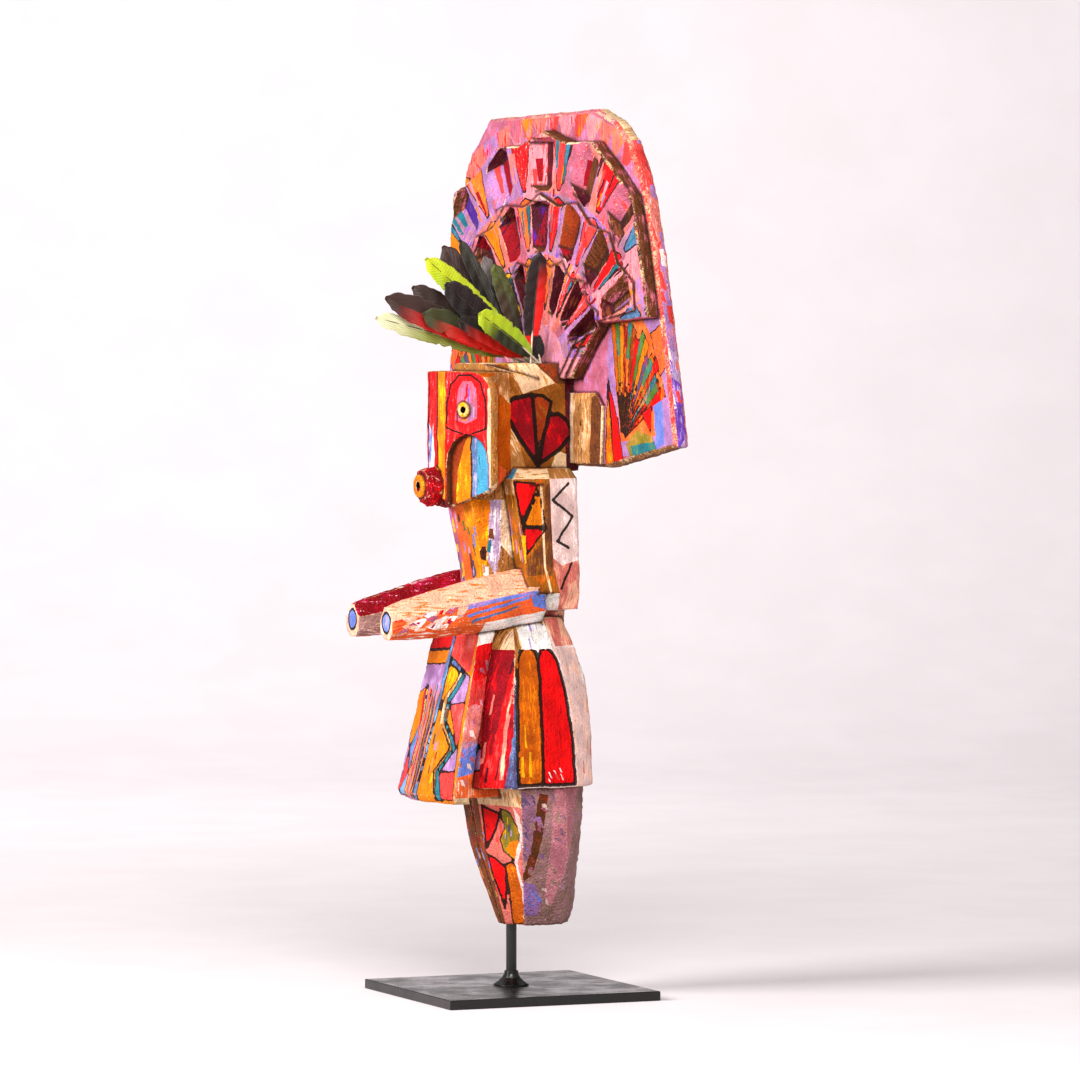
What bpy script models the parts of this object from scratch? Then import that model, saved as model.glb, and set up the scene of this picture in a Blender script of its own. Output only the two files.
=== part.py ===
"""A carved and painted yei figure with a feather-cut headdress board, on its steel stand.

Metres, +Z up. The figure faces -Y and its own left side is +X. The origin is the middle of
the stand's underside, on the axis of the rod.
"""

import math

import bmesh
import bpy
from mathutils import Vector

for old in list(bpy.data.objects):
    bpy.data.objects.remove(old, do_unlink=True)

# Stand
PLATE_SIDE = 0.165
PLATE_THICKNESS = 0.007
PLATE_EDGE_BEVEL = 0.0005
ROD_DIAMETER = 0.0078
ROD_SIDES = 24
ROD_END_BEVEL = 0.0006
ROUND_SHADING_ANGLE = math.radians(40.0)
SOCKET_DEPTH = 0.030
CUT_PAST = 4.0
FIT_GAP = 0.0003
BEAD_RADIUS = 0.0128
BEAD_HEIGHT = 0.0105
BEAD_WALL = 0.0009
BEAD_STEPS = 4
BEAD_LUMPS = 7
BEAD_LUMP_SHARE = 0.09

# Carved figure
FIGURE_HEIGHT = 0.5913
FIGURE_FOOT = 0.0525
GRID_STEPS = 810
STEP = FIGURE_HEIGHT / GRID_STEPS

# Headdress board, in grid steps
BOARD_FRONT = -46.0
BOARD_THICKNESS = 15.0
BOARD_CHAMFER = 3.5
BOARD_BORDER = 4.0
FAN_CENTRE = 558.0
FAN_STRETCH = 1.5
FEATHER_PITCH = math.radians(20.5)
ROW_REACH = (231.0, 168.0, 107.0)
ROW_HEIGHT = (13.0, 15.0, 16.0)
ROW_HALF_ANGLE = (math.radians(74.0), math.radians(70.0), math.radians(67.0))
ROW_END = 48.0
ROW_TOOTH = 5.0
ROW_EDGE_SLOPE = 2.0
ROW_ROOT = 6.0
ROW_FOOT = ((144, 602), (110, 578), (72, 546))
ROW_FOOT_STEP = 12.0
CHANNELS_A_SIDE = 3
CHANNEL_SHARE = 0.52
CHANNEL_INNER_SHARE = 0.6
CHANNEL_FLOOR_SHARE = 0.36
CHANNEL_END_GAP = 2.5
CHANNEL_FLOOR = 1.0

# Feathers
FEATHER_HOLE_DEPTH = 0.007
QUILL_RADIUS = 0.0009
VANE_HALF_THICKNESS = 0.0005
VANE_EDGE = 0.00018
FEATHER_LAYER = 0.0026
FEATHER_FAN = 0.9
FEATHER_FAN_LENGTH = 110.0
FEATHER_ROW_FRONT = -13.0
FEATHER_ROW_PITCH = -6.0
FEATHERS_DEEP = 3
QUILL_SIDES = 6
QUILL_HOLE_SIDES = 8


def grid(front, left, up):
    """A point of the carving, given in grid steps from the rod's axis and the figure's foot."""
    return Vector((left * STEP, -front * STEP, FIGURE_FOOT + up * STEP))


def make_material(name, colour, roughness, metallic=0.0):
    material = bpy.data.materials.new(name)
    material.use_nodes = True
    shader = material.node_tree.nodes["Principled BSDF"]
    shader.inputs["Base Color"].default_value = (*colour, 1.0)
    shader.inputs["Roughness"].default_value = roughness
    shader.inputs["Metallic"].default_value = metallic
    material.diffuse_color = (*colour, 1.0)
    return material


def make_object(name, bm, material=None):
    bmesh.ops.recalc_face_normals(bm, faces=bm.faces)
    mesh = bpy.data.meshes.new(name)
    bm.to_mesh(mesh)
    bm.free()
    obj = bpy.data.objects.new(name, mesh)
    bpy.context.scene.collection.objects.link(obj)
    if material:
        mesh.materials.append(material)
    return obj


def add_loft(bm, loops):
    """Adds a closed skin through loops of equally many points, with a flat cap at each end."""
    rings = [[bm.verts.new(point) for point in loop] for loop in loops]
    count = len(rings[0])
    for lower, upper in zip(rings, rings[1:]):
        for i in range(count):
            j = (i + 1) % count
            bm.faces.new((lower[i], lower[j], upper[j], upper[i]))
    bm.faces.new(rings[0][::-1])
    bm.faces.new(rings[-1])


def loft(name, loops, material=None):
    bm = bmesh.new()
    add_loft(bm, loops)
    return make_object(name, bm, material)


def mirrored(half):
    """A whole outline from the points of its left half, front to back."""
    return list(half) + [(front, -left) for front, left in reversed(half)]


def block(name, levels):
    """A block with mirrored halves. Each level is a height and the left half of its outline."""
    return loft(name, [[grid(f, l, up) for f, l in mirrored(half)] for up, half in levels])


def combine(target, tool, operation):
    """Joins a tool to the target, or cuts it out, and keeps the tool as a hidden guide."""
    modifier = target.modifiers.new(tool.name, "BOOLEAN")
    modifier.operation = operation
    modifier.solver = "EXACT"
    modifier.object = tool
    tool.hide_render = True
    tool.display_type = "WIRE"


def shade_round(obj):
    """Smooth shading for a turned piece, with its real edges kept sharp."""
    for polygon in obj.data.polygons:
        polygon.use_smooth = True
    obj.data.set_sharp_from_angle(angle=ROUND_SHADING_ANGLE)
    return obj


def ring(centre, axis_a, axis_b, radius, sides, turn=0.0):
    """Points of a regular polygon around a centre."""
    points = []
    for i in range(sides):
        angle = turn + i * math.tau / sides
        points.append(centre + axis_a * (radius * math.cos(angle)) + axis_b * (radius * math.sin(angle)))
    return points


# Legs

LEG_LEVELS = (
    (0, ((10, 9), (0, 34), (-41, 30), (-59, 8))),
    (12, ((14, 11), (3, 39), (-41, 36), (-61, 13))),
    (78, ((36, 20), (16, 66), (-32, 66), (-56, 43))),
    (141, ((48, 19), (24, 81), (-24, 81), (-57, 51))),
    (158, ((48, 19), (24, 78), (-24, 78), (-56, 50))),
)
LEG_SLIT_WIDTH = 3.0
LEG_SLIT_DEPTH = 6.0
LEG_SLIT_FLOOR = 0.4
LEG_SLIT_ENDS = (-2, 138)
LEG_SLIT_REACH = 3.0


def make_legs():
    return block("legs_guide", LEG_LEVELS)


def make_leg_slit(side):
    """A wedge that parts the two legs, on the front or on the back, deeper towards the skirt."""
    loops = []
    bottom, top = LEG_SLIT_ENDS
    for up, half in LEG_LEVELS[:-1]:
        edge = half[0][0] if side > 0 else half[-1][0]
        share = up / LEG_LEVELS[-2][0]
        floor = edge - side * LEG_SLIT_DEPTH * (0.3 + 0.7 * share)
        level = min(up, top) if up else bottom
        mouth = edge + side * LEG_SLIT_REACH
        loops.append([
            grid(mouth, LEG_SLIT_WIDTH, level),
            grid(floor, LEG_SLIT_FLOOR, level),
            grid(floor, -LEG_SLIT_FLOOR, level),
            grid(mouth, -LEG_SLIT_WIDTH, level),
        ])
    return loft("leg_slit_guide" if side > 0 else "leg_slit_back_guide", loops)


# Skirt and apron

SKIRT_LEVELS = (
    (141.5, ((64, 34), (62, 64), (37, 90), (-34, 90), (-62, 62))),
    (193, ((60, 34), (57, 60), (34, 86), (-31, 86), (-61, 60))),
    (246, ((55, 34), (52, 56), (31, 80), (-25, 80), (-57, 56))),
    (278, ((50, 34), (47, 50), (27, 73), (-18, 73), (-48, 48))),
    (308, ((44, 30), (40, 40), (22, 54), (-12, 54), (-39, 37))),
)
APRON_THICKNESS = 17.0
APRON_LEVELS = (
    (126, 103, 91, 71),
    (133, 106, 93, 74),
    (300, 60, 58, 57),
    (306, 56, 54, 52),
)
APRON_CORE_LEVELS = (
    (131, ((84, 52), (30, 52))),
    (296, ((50, 40), (24, 40))),
)


def make_apron():
    """The apron panel. Each level is a height, its ridge, its side edges and its half width."""
    loops = []
    for up, ridge, edge, half_width in APRON_LEVELS:
        back = edge - APRON_THICKNESS
        loops.append([
            grid(ridge, 0, up),
            grid(edge, half_width, up),
            grid(back, half_width - 1, up),
            grid(back, -half_width + 1, up),
            grid(edge, -half_width, up),
        ])
    return loft("apron_guide", loops)


# Torso and arms

TORSO_LEVELS = (
    (286, ((38, 28), (26, 37), (-40, 37))),
    (355, ((43, 30), (30, 38), (-46, 38))),
    (420, ((56, 32), (40, 40), (-46, 40))),
    (462, ((58, 32), (44, 40), (-46, 40))),
)
UPPER_ARM_LEVELS = (
    (316, ((4, 30), (4, 52), (-27, 54), (-49, 54), (-49, 30))),
    (333, ((10, 30), (10, 67), (-22, 72), (-50, 57), (-50, 30))),
    (360, ((12, 30), (13, 67), (-15, 72), (-50, 57), (-50, 30))),
    (447, ((26, 30), (27, 66), (-11, 71), (-47, 56), (-47, 30))),
    (457, ((18, 30), (19, 60), (-12, 63), (-42, 51), (-42, 30))),
)
ARM_COVE_RADIUS = 15.0
ARM_COVE_DEPTH = 3.6
ARM_COVE_SIDES = 16
COVE_TOP = 441.0
FOREARM_STATIONS = (
    (-8, 47, 333, 24, 28),
    (57, 47, 322, 23, 27),
    (100, 46, 314.5, 21, 23.5),
    (140, 45, 307.5, 18, 18.5),
    (153, 45, 305, 16, 16),
)
FOREARM_SECTION = (
    (0.28, 1.0),
    (1.0, 0.2),
    (1.0, -0.6),
    (0.45, -1.0),
    (-0.45, -1.0),
    (-1.0, -0.6),
    (-1.0, 0.2),
    (-0.28, 1.0),
)


def side_name(side):
    return "left" if side > 0 else "right"


def make_upper_arm(side):
    loops = [[grid(f, side * l, up) for f, l in outline] for up, outline in UPPER_ARM_LEVELS]
    return loft(f"upper_arm_{side_name(side)}_guide", loops)


def make_arm_cove(side):
    """A gouge cut down the outside of the upper arm, just ahead of its back corner."""
    loops = []
    for up, outline in UPPER_ARM_LEVELS[1:4]:
        front, left = outline[2]
        level = min(up, COVE_TOP)
        centre = grid(front + ARM_COVE_RADIUS, side * (left + ARM_COVE_RADIUS - ARM_COVE_DEPTH), level)
        across = Vector((STEP, 0, 0))
        ahead = Vector((0, STEP, 0))
        loops.append(ring(centre, across, ahead, ARM_COVE_RADIUS, ARM_COVE_SIDES))
    return loft(f"arm_cove_{side_name(side)}_guide", loops)


def make_forearm(side):
    loops = []
    for front, left, up, half_width, half_height in FOREARM_STATIONS:
        loops.append([
            grid(front, side * left + half_width * a, up + half_height * b) for a, b in FOREARM_SECTION
        ])
    return loft(f"forearm_{side_name(side)}_guide", loops)


# Head, mask and mouth

HEAD_LEVELS = (
    (454, ((45, 48), (-8, 50), (-52, 50))),
    (546, ((45, 50), (-8, 50), (-52, 50))),
    (561, ((45, 37), (-8, 50), (-52, 50))),
)
MASK_RIDGE = (81.0, 23.0)
MASK_PANEL_WIDTH = 57.3
MASK_SWEEP = math.radians(29.3)
MASK_RIM = 8.0
MASK_CHIN = 418.0
MASK_CHIN_SLOPE = 0.7
MASK_BEVEL = 9.0
CHIN_BEVEL_FADE = 80.0
MASK_TALL = 135.0
MASK_TOP = MASK_CHIN + MASK_TALL
MASK_CORNER = 25.0
MASK_CORNER_STEPS = 5
EYE_ALONG = 24.0
EYE_ABOVE_CHIN = 97.5
EYE_RING_RADIUS = 7.5
EYE_RING_HEIGHT = 2.0
EYE_RING_ROOT = 5.0
EYE_HOLE_RADIUS = 3.4
EYE_HOLE_DEPTH = 9.0
EYE_SIDES = 16
NICHE_INNER = 1.5
NICHE_OUTER = 54.5
NICHE_STRAIGHT = 44.0
NICHE_RISE = 29.0
NICHE_DEEP = 7.5
NICHE_SHALLOW = 1.8
NICHE_STEPS = 8
MOUTH_ABOVE_CHIN = 21.0
MOUTH_UP = MASK_CHIN + MOUTH_ABOVE_CHIN
MOUTH_RADIUS = 19.5
MOUTH_ROOT = 74.0
MOUTH_END = 97.0
MOUTH_SIDES = 20
MOUTH_RING_RADIUS = 11.5
MOUTH_RING_ROOT = 85.0
MOUTH_RING_END = 101.0
MOUTH_STATIONS = 5
MOUTH_HOLE_RADIUS = 5.0
MOUTH_HOLE_DEPTH = 16.0


def panel_point(along, out=0.0):
    """A point on a mask side panel: how far along from the ridge, and how far out from its face."""
    front = MASK_RIDGE[0] - along * math.sin(MASK_SWEEP) + out * math.cos(MASK_SWEEP)
    left = MASK_RIDGE[1] + along * math.cos(MASK_SWEEP) + out * math.sin(MASK_SWEEP)
    return front, left


def mask_outline(panel_width, shrink=0.0):
    """The left half of the mask in plan: ridge, outer rim, cove and the root inside the head."""
    rim_front, rim_left = panel_point(panel_width)
    ridge_front, ridge_left = MASK_RIDGE
    return (
        (ridge_front - shrink, ridge_left - shrink * 0.3),
        (rim_front - shrink * 0.3, rim_left - shrink * 0.6),
        (rim_front - MASK_RIM, rim_left - 1 - shrink * 0.6),
        (38, min(58, rim_left - 2)),
        (24, 50.8),
        (18, 46),
    )


def make_mask():
    chin_front = MASK_RIDGE[0] - MASK_BEVEL
    loops = []
    for shrink, lift in ((MASK_BEVEL, 0.0), (0.0, MASK_BEVEL)):
        outline = mirrored(mask_outline(MASK_PANEL_WIDTH, shrink))
        rise = [max(0.0, chin_front - f) * MASK_CHIN_SLOPE for f, l in outline]
        loops.append([
            grid(f, l, MASK_CHIN + r + lift * (1 - r / CHIN_BEVEL_FADE)) for (f, l), r in zip(outline, rise)
        ])
    for i in range(MASK_CORNER_STEPS + 1):
        angle = i * math.pi / 2 / MASK_CORNER_STEPS
        width = MASK_PANEL_WIDTH - MASK_CORNER * (1 - math.cos(angle))
        up = MASK_TOP - MASK_CORNER * (1 - math.sin(angle))
        loops.append([grid(f, l, up) for f, l in mirrored(mask_outline(width))])
    return loft("mask_guide", loops)


def eye_cylinder(side, radius, inner, outer):
    """A short cylinder through a mask panel, square to its face."""
    loops = []
    normal = Vector((side * math.sin(MASK_SWEEP), -math.cos(MASK_SWEEP), 0))
    across = Vector((0, 0, 1)).cross(normal)
    for out in (inner, outer):
        front, left = panel_point(EYE_ALONG, out)
        centre = grid(front, side * left, MASK_CHIN + EYE_ABOVE_CHIN)
        loops.append(ring(centre, across * STEP, Vector((0, 0, STEP)), radius, EYE_SIDES))
    return loops


def niche_loops(side):
    """An arched cutter whose floor is deep beside the ridge and shallow at the rim."""
    middle = (NICHE_INNER + NICHE_OUTER) / 2
    half = (NICHE_OUTER - NICHE_INNER) / 2
    below = MASK_CHIN - 3 * CUT_PAST
    spring = MASK_CHIN + NICHE_STRAIGHT
    outline = [(NICHE_INNER, below), (NICHE_OUTER, below)]
    for i in range(NICHE_STEPS + 1):
        angle = i * math.pi / NICHE_STEPS
        outline.append((middle + half * math.cos(angle), spring + NICHE_RISE * math.sin(angle)))
    floor = []
    outside = []
    for along, up in outline:
        share = (along - NICHE_INNER) / (NICHE_OUTER - NICHE_INNER)
        depth = NICHE_DEEP + (NICHE_SHALLOW - NICHE_DEEP) * share
        f, l = panel_point(along, -depth)
        floor.append(grid(f, side * l, up))
        f, l = panel_point(along, 2 * CUT_PAST)
        outside.append(grid(f, side * l, up))
    return [floor, outside]


def mouth_loops():
    """A short tube with a ruffled wall."""
    loops = []
    for i in range(MOUTH_STATIONS):
        share = i / (MOUTH_STATIONS - 1)
        front = MOUTH_ROOT + (MOUTH_END - MOUTH_ROOT) * share
        loop = []
        for k in range(MOUTH_SIDES):
            angle = k * math.tau / MOUTH_SIDES
            ruffle = 1.0 + 0.06 * math.sin(5 * angle + 4 * share) + 0.04 * math.cos(9 * angle - 7 * share)
            swell = 1.0 - 0.16 * abs(2 * share - 1) ** 2
            radius = MOUTH_RADIUS * ruffle * swell
            loop.append(grid(front, radius * math.cos(angle), MOUTH_UP + radius * math.sin(angle)))
        loops.append(loop)
    return loops


def mouth_cylinder(radius, root, end):
    across = Vector((STEP, 0, 0))
    upward = Vector((0, 0, STEP))
    return [ring(grid(front, 0, MOUTH_UP), across, upward, radius, EYE_SIDES) for front in (root, end)]


# Headdress board

BOARD_LEFT_EDGE = (
    (107, 812),
    (151, 799),
    (182, 780),
    (208, 749),
    (225, 716),
    (239, 680),
    (254, 632),
    (275, 559),
    (294, 482),
    (132, 459),
)
BOARD_RIGHT_EDGE = (
    (168, 810),
    (187, 796),
    (213, 778),
    (231, 758),
    (239, 716),
    (246, 682),
    (260, 625),
    (275, 559),
    (294, 482),
    (132, 459),
)
BOARD_PAD = ((44, 462), (124, 462), (128, 520), (112, 532), (44, 532))
BOARD_PAD_HEIGHT = 4.0
EDGE_SLACK = 1e-9


def board_outline():
    return [(l, up) for l, up in BOARD_LEFT_EDGE] + [(-l, up) for l, up in reversed(BOARD_RIGHT_EDGE)]


def inset_outline(points, distance):
    """Moves each side of a convex outline inwards by the same distance."""
    area = sum(a[0] * b[1] - b[0] * a[1] for a, b in zip(points, points[1:] + points[:1]))
    turn = 1.0 if area > 0 else -1.0
    count = len(points)
    lines = []
    for a, b in zip(points, points[1:] + points[:1]):
        dx, dy = b[0] - a[0], b[1] - a[1]
        length = math.hypot(dx, dy)
        nx, ny = -dy / length * turn, dx / length * turn
        lines.append((nx, ny, nx * a[0] + ny * a[1] + distance))
    result = []
    for i in range(count):
        a, b, c = lines[i - 1]
        d, e, f = lines[i]
        det = a * e - b * d
        result.append(((c * e - b * f) / det, (a * f - c * d) / det))
    return result


def make_board():
    outline = board_outline()
    inner = inset_outline(outline, BOARD_CHAMFER)
    back = BOARD_FRONT - BOARD_THICKNESS
    loops = [
        [grid(back, l, up) for l, up in inset_outline(outline, BOARD_CHAMFER / 2)],
        [grid(back + BOARD_CHAMFER / 2, l, up) for l, up in outline],
        [grid(BOARD_FRONT - BOARD_CHAMFER, l, up) for l, up in outline],
        [grid(BOARD_FRONT, l, up) for l, up in inner],
    ]
    return loft("board_guide", loops)


def fan_point(angle, reach):
    """A point of the feather fan, given by its angle and its reach from the fan's centre."""
    return FAN_STRETCH * reach * math.sin(angle), FAN_CENTRE + reach * math.cos(angle)


def border_reach(angle, border):
    """How far a ray of the fan runs before it meets the board's border."""
    outline = inset_outline(board_outline(), border)
    dx, dy = FAN_STRETCH * math.sin(angle), math.cos(angle)
    reach = float("inf")
    for a, b in zip(outline, outline[1:] + outline[:1]):
        ex, ey = b[0] - a[0], b[1] - a[1]
        det = dx * -ey + ex * dy
        if abs(det) < EDGE_SLACK:
            continue
        ax, ay = a[0], a[1] - FAN_CENTRE
        t = (ax * -ey + ex * ay) / det
        s = (dx * ay - dy * ax) / det
        if t > 0 and -EDGE_SLACK <= s <= 1 + EDGE_SLACK:
            reach = min(reach, t)
    return reach


def row_loops(row):
    """One layer of carved feathers: a thin slab with toothed ends, over all rows outside it."""
    reach = ROW_REACH[row]
    last = ROW_HALF_ANGLE[row]
    teeth = 2 * CHANNELS_A_SIDE
    angles = [k * FEATHER_PITCH / 2 for k in range(-teeth, teeth + 1)]
    outline = []
    for k, angle in enumerate([-last] + angles + [last]):
        tooth = ROW_TOOTH if k % 2 else -ROW_TOOTH
        outline.append(fan_point(angle, min(reach + tooth, border_reach(angle, BOARD_BORDER))))
    drop = ROW_FOOT_STEP * row
    outline += [(l - drop, up) for l, up in ROW_FOOT]
    outline += [(drop - l, up) for l, up in reversed(ROW_FOOT)]
    middle = FAN_CENTRE + ROW_END
    top = BOARD_FRONT + ROW_HEIGHT[row]
    loops = []
    for front, shrink in (
        (BOARD_FRONT - ROW_ROOT, 0.0),
        (top - ROW_EDGE_SLOPE, 0.0),
        (top, ROW_EDGE_SLOPE),
    ):
        loop = []
        for l, up in outline:
            length = math.hypot(l, up - middle)
            loop.append(grid(front, l - shrink * l / length, up - shrink * (up - middle) / length))
        loops.append(loop)
    return loops


def pitch_width(angle, reach):
    """The distance between two neighbouring rays of the fan, square to the ray."""
    stretch = math.hypot(FAN_STRETCH * math.sin(angle), math.cos(angle))
    return FEATHER_PITCH * FAN_STRETCH * reach / stretch


def add_channel(bm, angle, inner, outer, top):
    """A gouge cut that runs along a ray of the fan, widening outwards."""
    inner_half = pitch_width(angle, inner) * CHANNEL_INNER_SHARE / 2
    outer_half = pitch_width(angle, outer) * CHANNEL_SHARE / 2
    start = Vector(fan_point(angle, inner))
    end = Vector(fan_point(angle, outer))
    along = (end - start).normalized()
    across = Vector((-along.y, along.x))
    depth = top - BOARD_FRONT - CHANNEL_FLOOR
    outside = top + ROW_ROOT
    loops = []
    for share, width, sunk in ((0.0, 0.55, 0.1), (0.1, 0.92, 0.85), (0.92, 1.0, 1.0), (1.0, 0.75, 0.2)):
        centre = start + (end - start) * share
        half = (inner_half + (outer_half - inner_half) * share) * width
        floor = top - depth * sunk
        loop = []
        for side, front in (
            (-1.0, outside),
            (-1.0, top),
            (-CHANNEL_FLOOR_SHARE, floor),
            (CHANNEL_FLOOR_SHARE, floor),
            (1.0, top),
            (1.0, outside),
        ):
            point = centre + across * (side * half)
            loop.append(grid(front, point.x, point.y))
        loops.append(loop)
    add_loft(bm, loops)


def make_channels():
    bm = bmesh.new()
    for reach, next_reach, height in zip(ROW_REACH, ROW_REACH[1:] + (ROW_END,), ROW_HEIGHT):
        for k in range(-CHANNELS_A_SIDE, CHANNELS_A_SIDE + 1):
            angle = k * FEATHER_PITCH
            limit = border_reach(angle, BOARD_BORDER)
            outer = min(reach, limit) - CHANNEL_END_GAP
            inner = next_reach + ROW_TOOTH + CHANNEL_END_GAP
            if outer > inner * 1.1:
                add_channel(bm, angle, inner, outer, BOARD_FRONT + height)
    return make_object("channels_guide", bm)


# Feathers: tip front, tip up, half width and sag in grid steps, and the drawn order of layers

FEATHERS = (
    (53.5, 677, 14.0, 2.0),
    (90, 636, 12.0, 2.0),
    (16, 667, 10.0, -2.0),
    (44.6, 683, 8.0, 2.0),
    (11, 659, 9.5, 3.0),
    (87, 664, 12.5, 4.0),
    (144, 605, 11.0, 5.0),
    (137, 625, 14.0, 3.0),
    (99.5, 609, 13.5, 4.0),
    (78, 639, 14.0, 2.0),
    (66.5, 603, 10.5, 4.0),
    (-13, 588, 9.5, 2.0),
    (-16, 670, 11.5, 3.0),
    (51.5, 609, 12.5, 5.0),
)
VANE_START = 0.14
VANE_PROFILE = ((0.0, 0.25), (0.12, 0.6), (0.35, 0.9), (0.6, 1.0), (0.82, 0.95), (0.94, 0.68), (1.0, 0.25))


def profile_width(share):
    for (a, wa), (b, wb) in zip(VANE_PROFILE, VANE_PROFILE[1:]):
        if share <= b:
            return wa + (wb - wa) * (share - a) / (b - a)
    return VANE_PROFILE[-1][1]


def feather_path(index):
    """The feather's root, a guide point and its tip."""
    tip_front, tip_up, _, sag = FEATHERS[index]
    layer = index - (len(FEATHERS) - 1) / 2
    root_left = layer * FEATHER_LAYER / STEP
    root_front = FEATHER_ROW_FRONT + FEATHER_ROW_PITCH * (index % FEATHERS_DEEP)
    root_up = HEAD_LEVELS[-1][0]
    length = math.hypot(tip_front - root_front, tip_up - root_up)
    root = grid(root_front, root_left, root_up)
    tip = grid(tip_front, root_left * (1 + FEATHER_FAN * length / FEATHER_FAN_LENGTH), tip_up)
    span = tip - root
    square = Vector((0, -span.z, span.y)).normalized()
    if square.z < 0:
        square = -square
    guide = root + span * 0.45 + square * (sag * STEP)
    return root, guide, tip


def feather_loops(index):
    root, guide, tip = feather_path(index)
    half_width = FEATHERS[index][2] * STEP
    start = (guide - root).normalized()
    loops = []
    shares = [-1.0, 0.0] + [VANE_START + (1 - VANE_START) * v for v, _ in VANE_PROFILE]
    for share in shares:
        if share < 0:
            centre = root - start * (FEATHER_HOLE_DEPTH - FIT_GAP)
            tangent = start
        else:
            a = root.lerp(guide, share)
            b = guide.lerp(tip, share)
            centre = a.lerp(b, share)
            tangent = (b - a).normalized()
        across = Vector((1, 0, 0)).cross(tangent).normalized()
        face = tangent.cross(across).normalized()
        if share < VANE_START:
            loops.append(ring(centre, across, face, QUILL_RADIUS, QUILL_SIDES))
            continue
        width = half_width * profile_width((share - VANE_START) / (1 - VANE_START))
        thick = VANE_HALF_THICKNESS * (1.4 - 0.7 * share)
        section = (
            (width, VANE_EDGE),
            (0.0, thick),
            (-width, VANE_EDGE),
            (-width, -VANE_EDGE),
            (0.0, -thick),
            (width, -VANE_EDGE),
        )
        loops.append([centre + across * a + face * b for a, b in section])
    return loops


def add_quill_hole(bm, index):
    root, guide, _ = feather_path(index)
    start = (guide - root).normalized()
    across = Vector((1, 0, 0)).cross(start).normalized()
    face = start.cross(across).normalized()
    radius = QUILL_RADIUS + FIT_GAP
    loops = []
    for out in (-FEATHER_HOLE_DEPTH, FEATHER_HOLE_DEPTH * 1.2):
        loops.append(ring(root + start * out, across, face, radius, QUILL_HOLE_SIDES))
    add_loft(bm, loops)


# Stand pieces

def round_loops(profile, sides):
    """Rings of a turned piece about the rod's axis, from (radius, height) pairs."""
    return [ring(Vector((0, 0, z)), Vector((1, 0, 0)), Vector((0, 1, 0)), r, sides) for r, z in profile]


def make_plate(material):
    half = PLATE_SIDE / 2
    loops = []
    for z, inset in (
        (0.0, PLATE_EDGE_BEVEL),
        (PLATE_EDGE_BEVEL, 0.0),
        (PLATE_THICKNESS - PLATE_EDGE_BEVEL, 0.0),
        (PLATE_THICKNESS, PLATE_EDGE_BEVEL),
    ):
        side = half - inset
        corners = ((-side, -side), (side, -side), (side, side), (-side, side))
        loops.append([Vector((x, y, z)) for x, y in corners])
    return loft("base_plate", loops, material)


def make_rod(material):
    radius = ROD_DIAMETER / 2
    foot = PLATE_THICKNESS + FIT_GAP
    top = FIGURE_FOOT + SOCKET_DEPTH - FIT_GAP
    profile = [(radius, foot), (radius, top - ROD_END_BEVEL), (radius - ROD_END_BEVEL, top)]
    return shade_round(loft("stem_rod", round_loops(profile, ROD_SIDES), material))


def make_bead(material):
    """The weld around the rod's foot: a lumpy collar that clears rod and plate by the fit gap."""
    bore = ROD_DIAMETER / 2 + FIT_GAP
    foot = PLATE_THICKNESS + FIT_GAP
    bm = bmesh.new()
    profile = []
    for i in range(BEAD_STEPS + 1):
        share = i / BEAD_STEPS
        radius = bore + BEAD_WALL + (BEAD_RADIUS - bore - BEAD_WALL) * (1 - share) ** 2.2
        profile.append((radius, foot + BEAD_HEIGHT * (0.06 + 0.94 * share)))
    profile.insert(0, (BEAD_RADIUS, foot))
    rings = []
    for radius, z in profile:
        verts = []
        for k in range(ROD_SIDES):
            angle = k * math.tau / ROD_SIDES
            lump = 1 + BEAD_LUMP_SHARE * math.sin(BEAD_LUMPS * angle + z / BEAD_HEIGHT * 2)
            r = bore + BEAD_WALL + (radius - bore - BEAD_WALL) * lump
            verts.append(bm.verts.new((r * math.cos(angle), r * math.sin(angle), z)))
        rings.append(verts)
    for loop in round_loops([(bore, profile[-1][1]), (bore, foot)], ROD_SIDES):
        rings.append([bm.verts.new(point) for point in loop])
    for lower, upper in zip(rings, rings[1:] + rings[:1]):
        for k in range(ROD_SIDES):
            j = (k + 1) % ROD_SIDES
            bm.faces.new((lower[k], lower[j], upper[j], upper[k]))
    return shade_round(make_object("weld_bead", bm, material))


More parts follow.
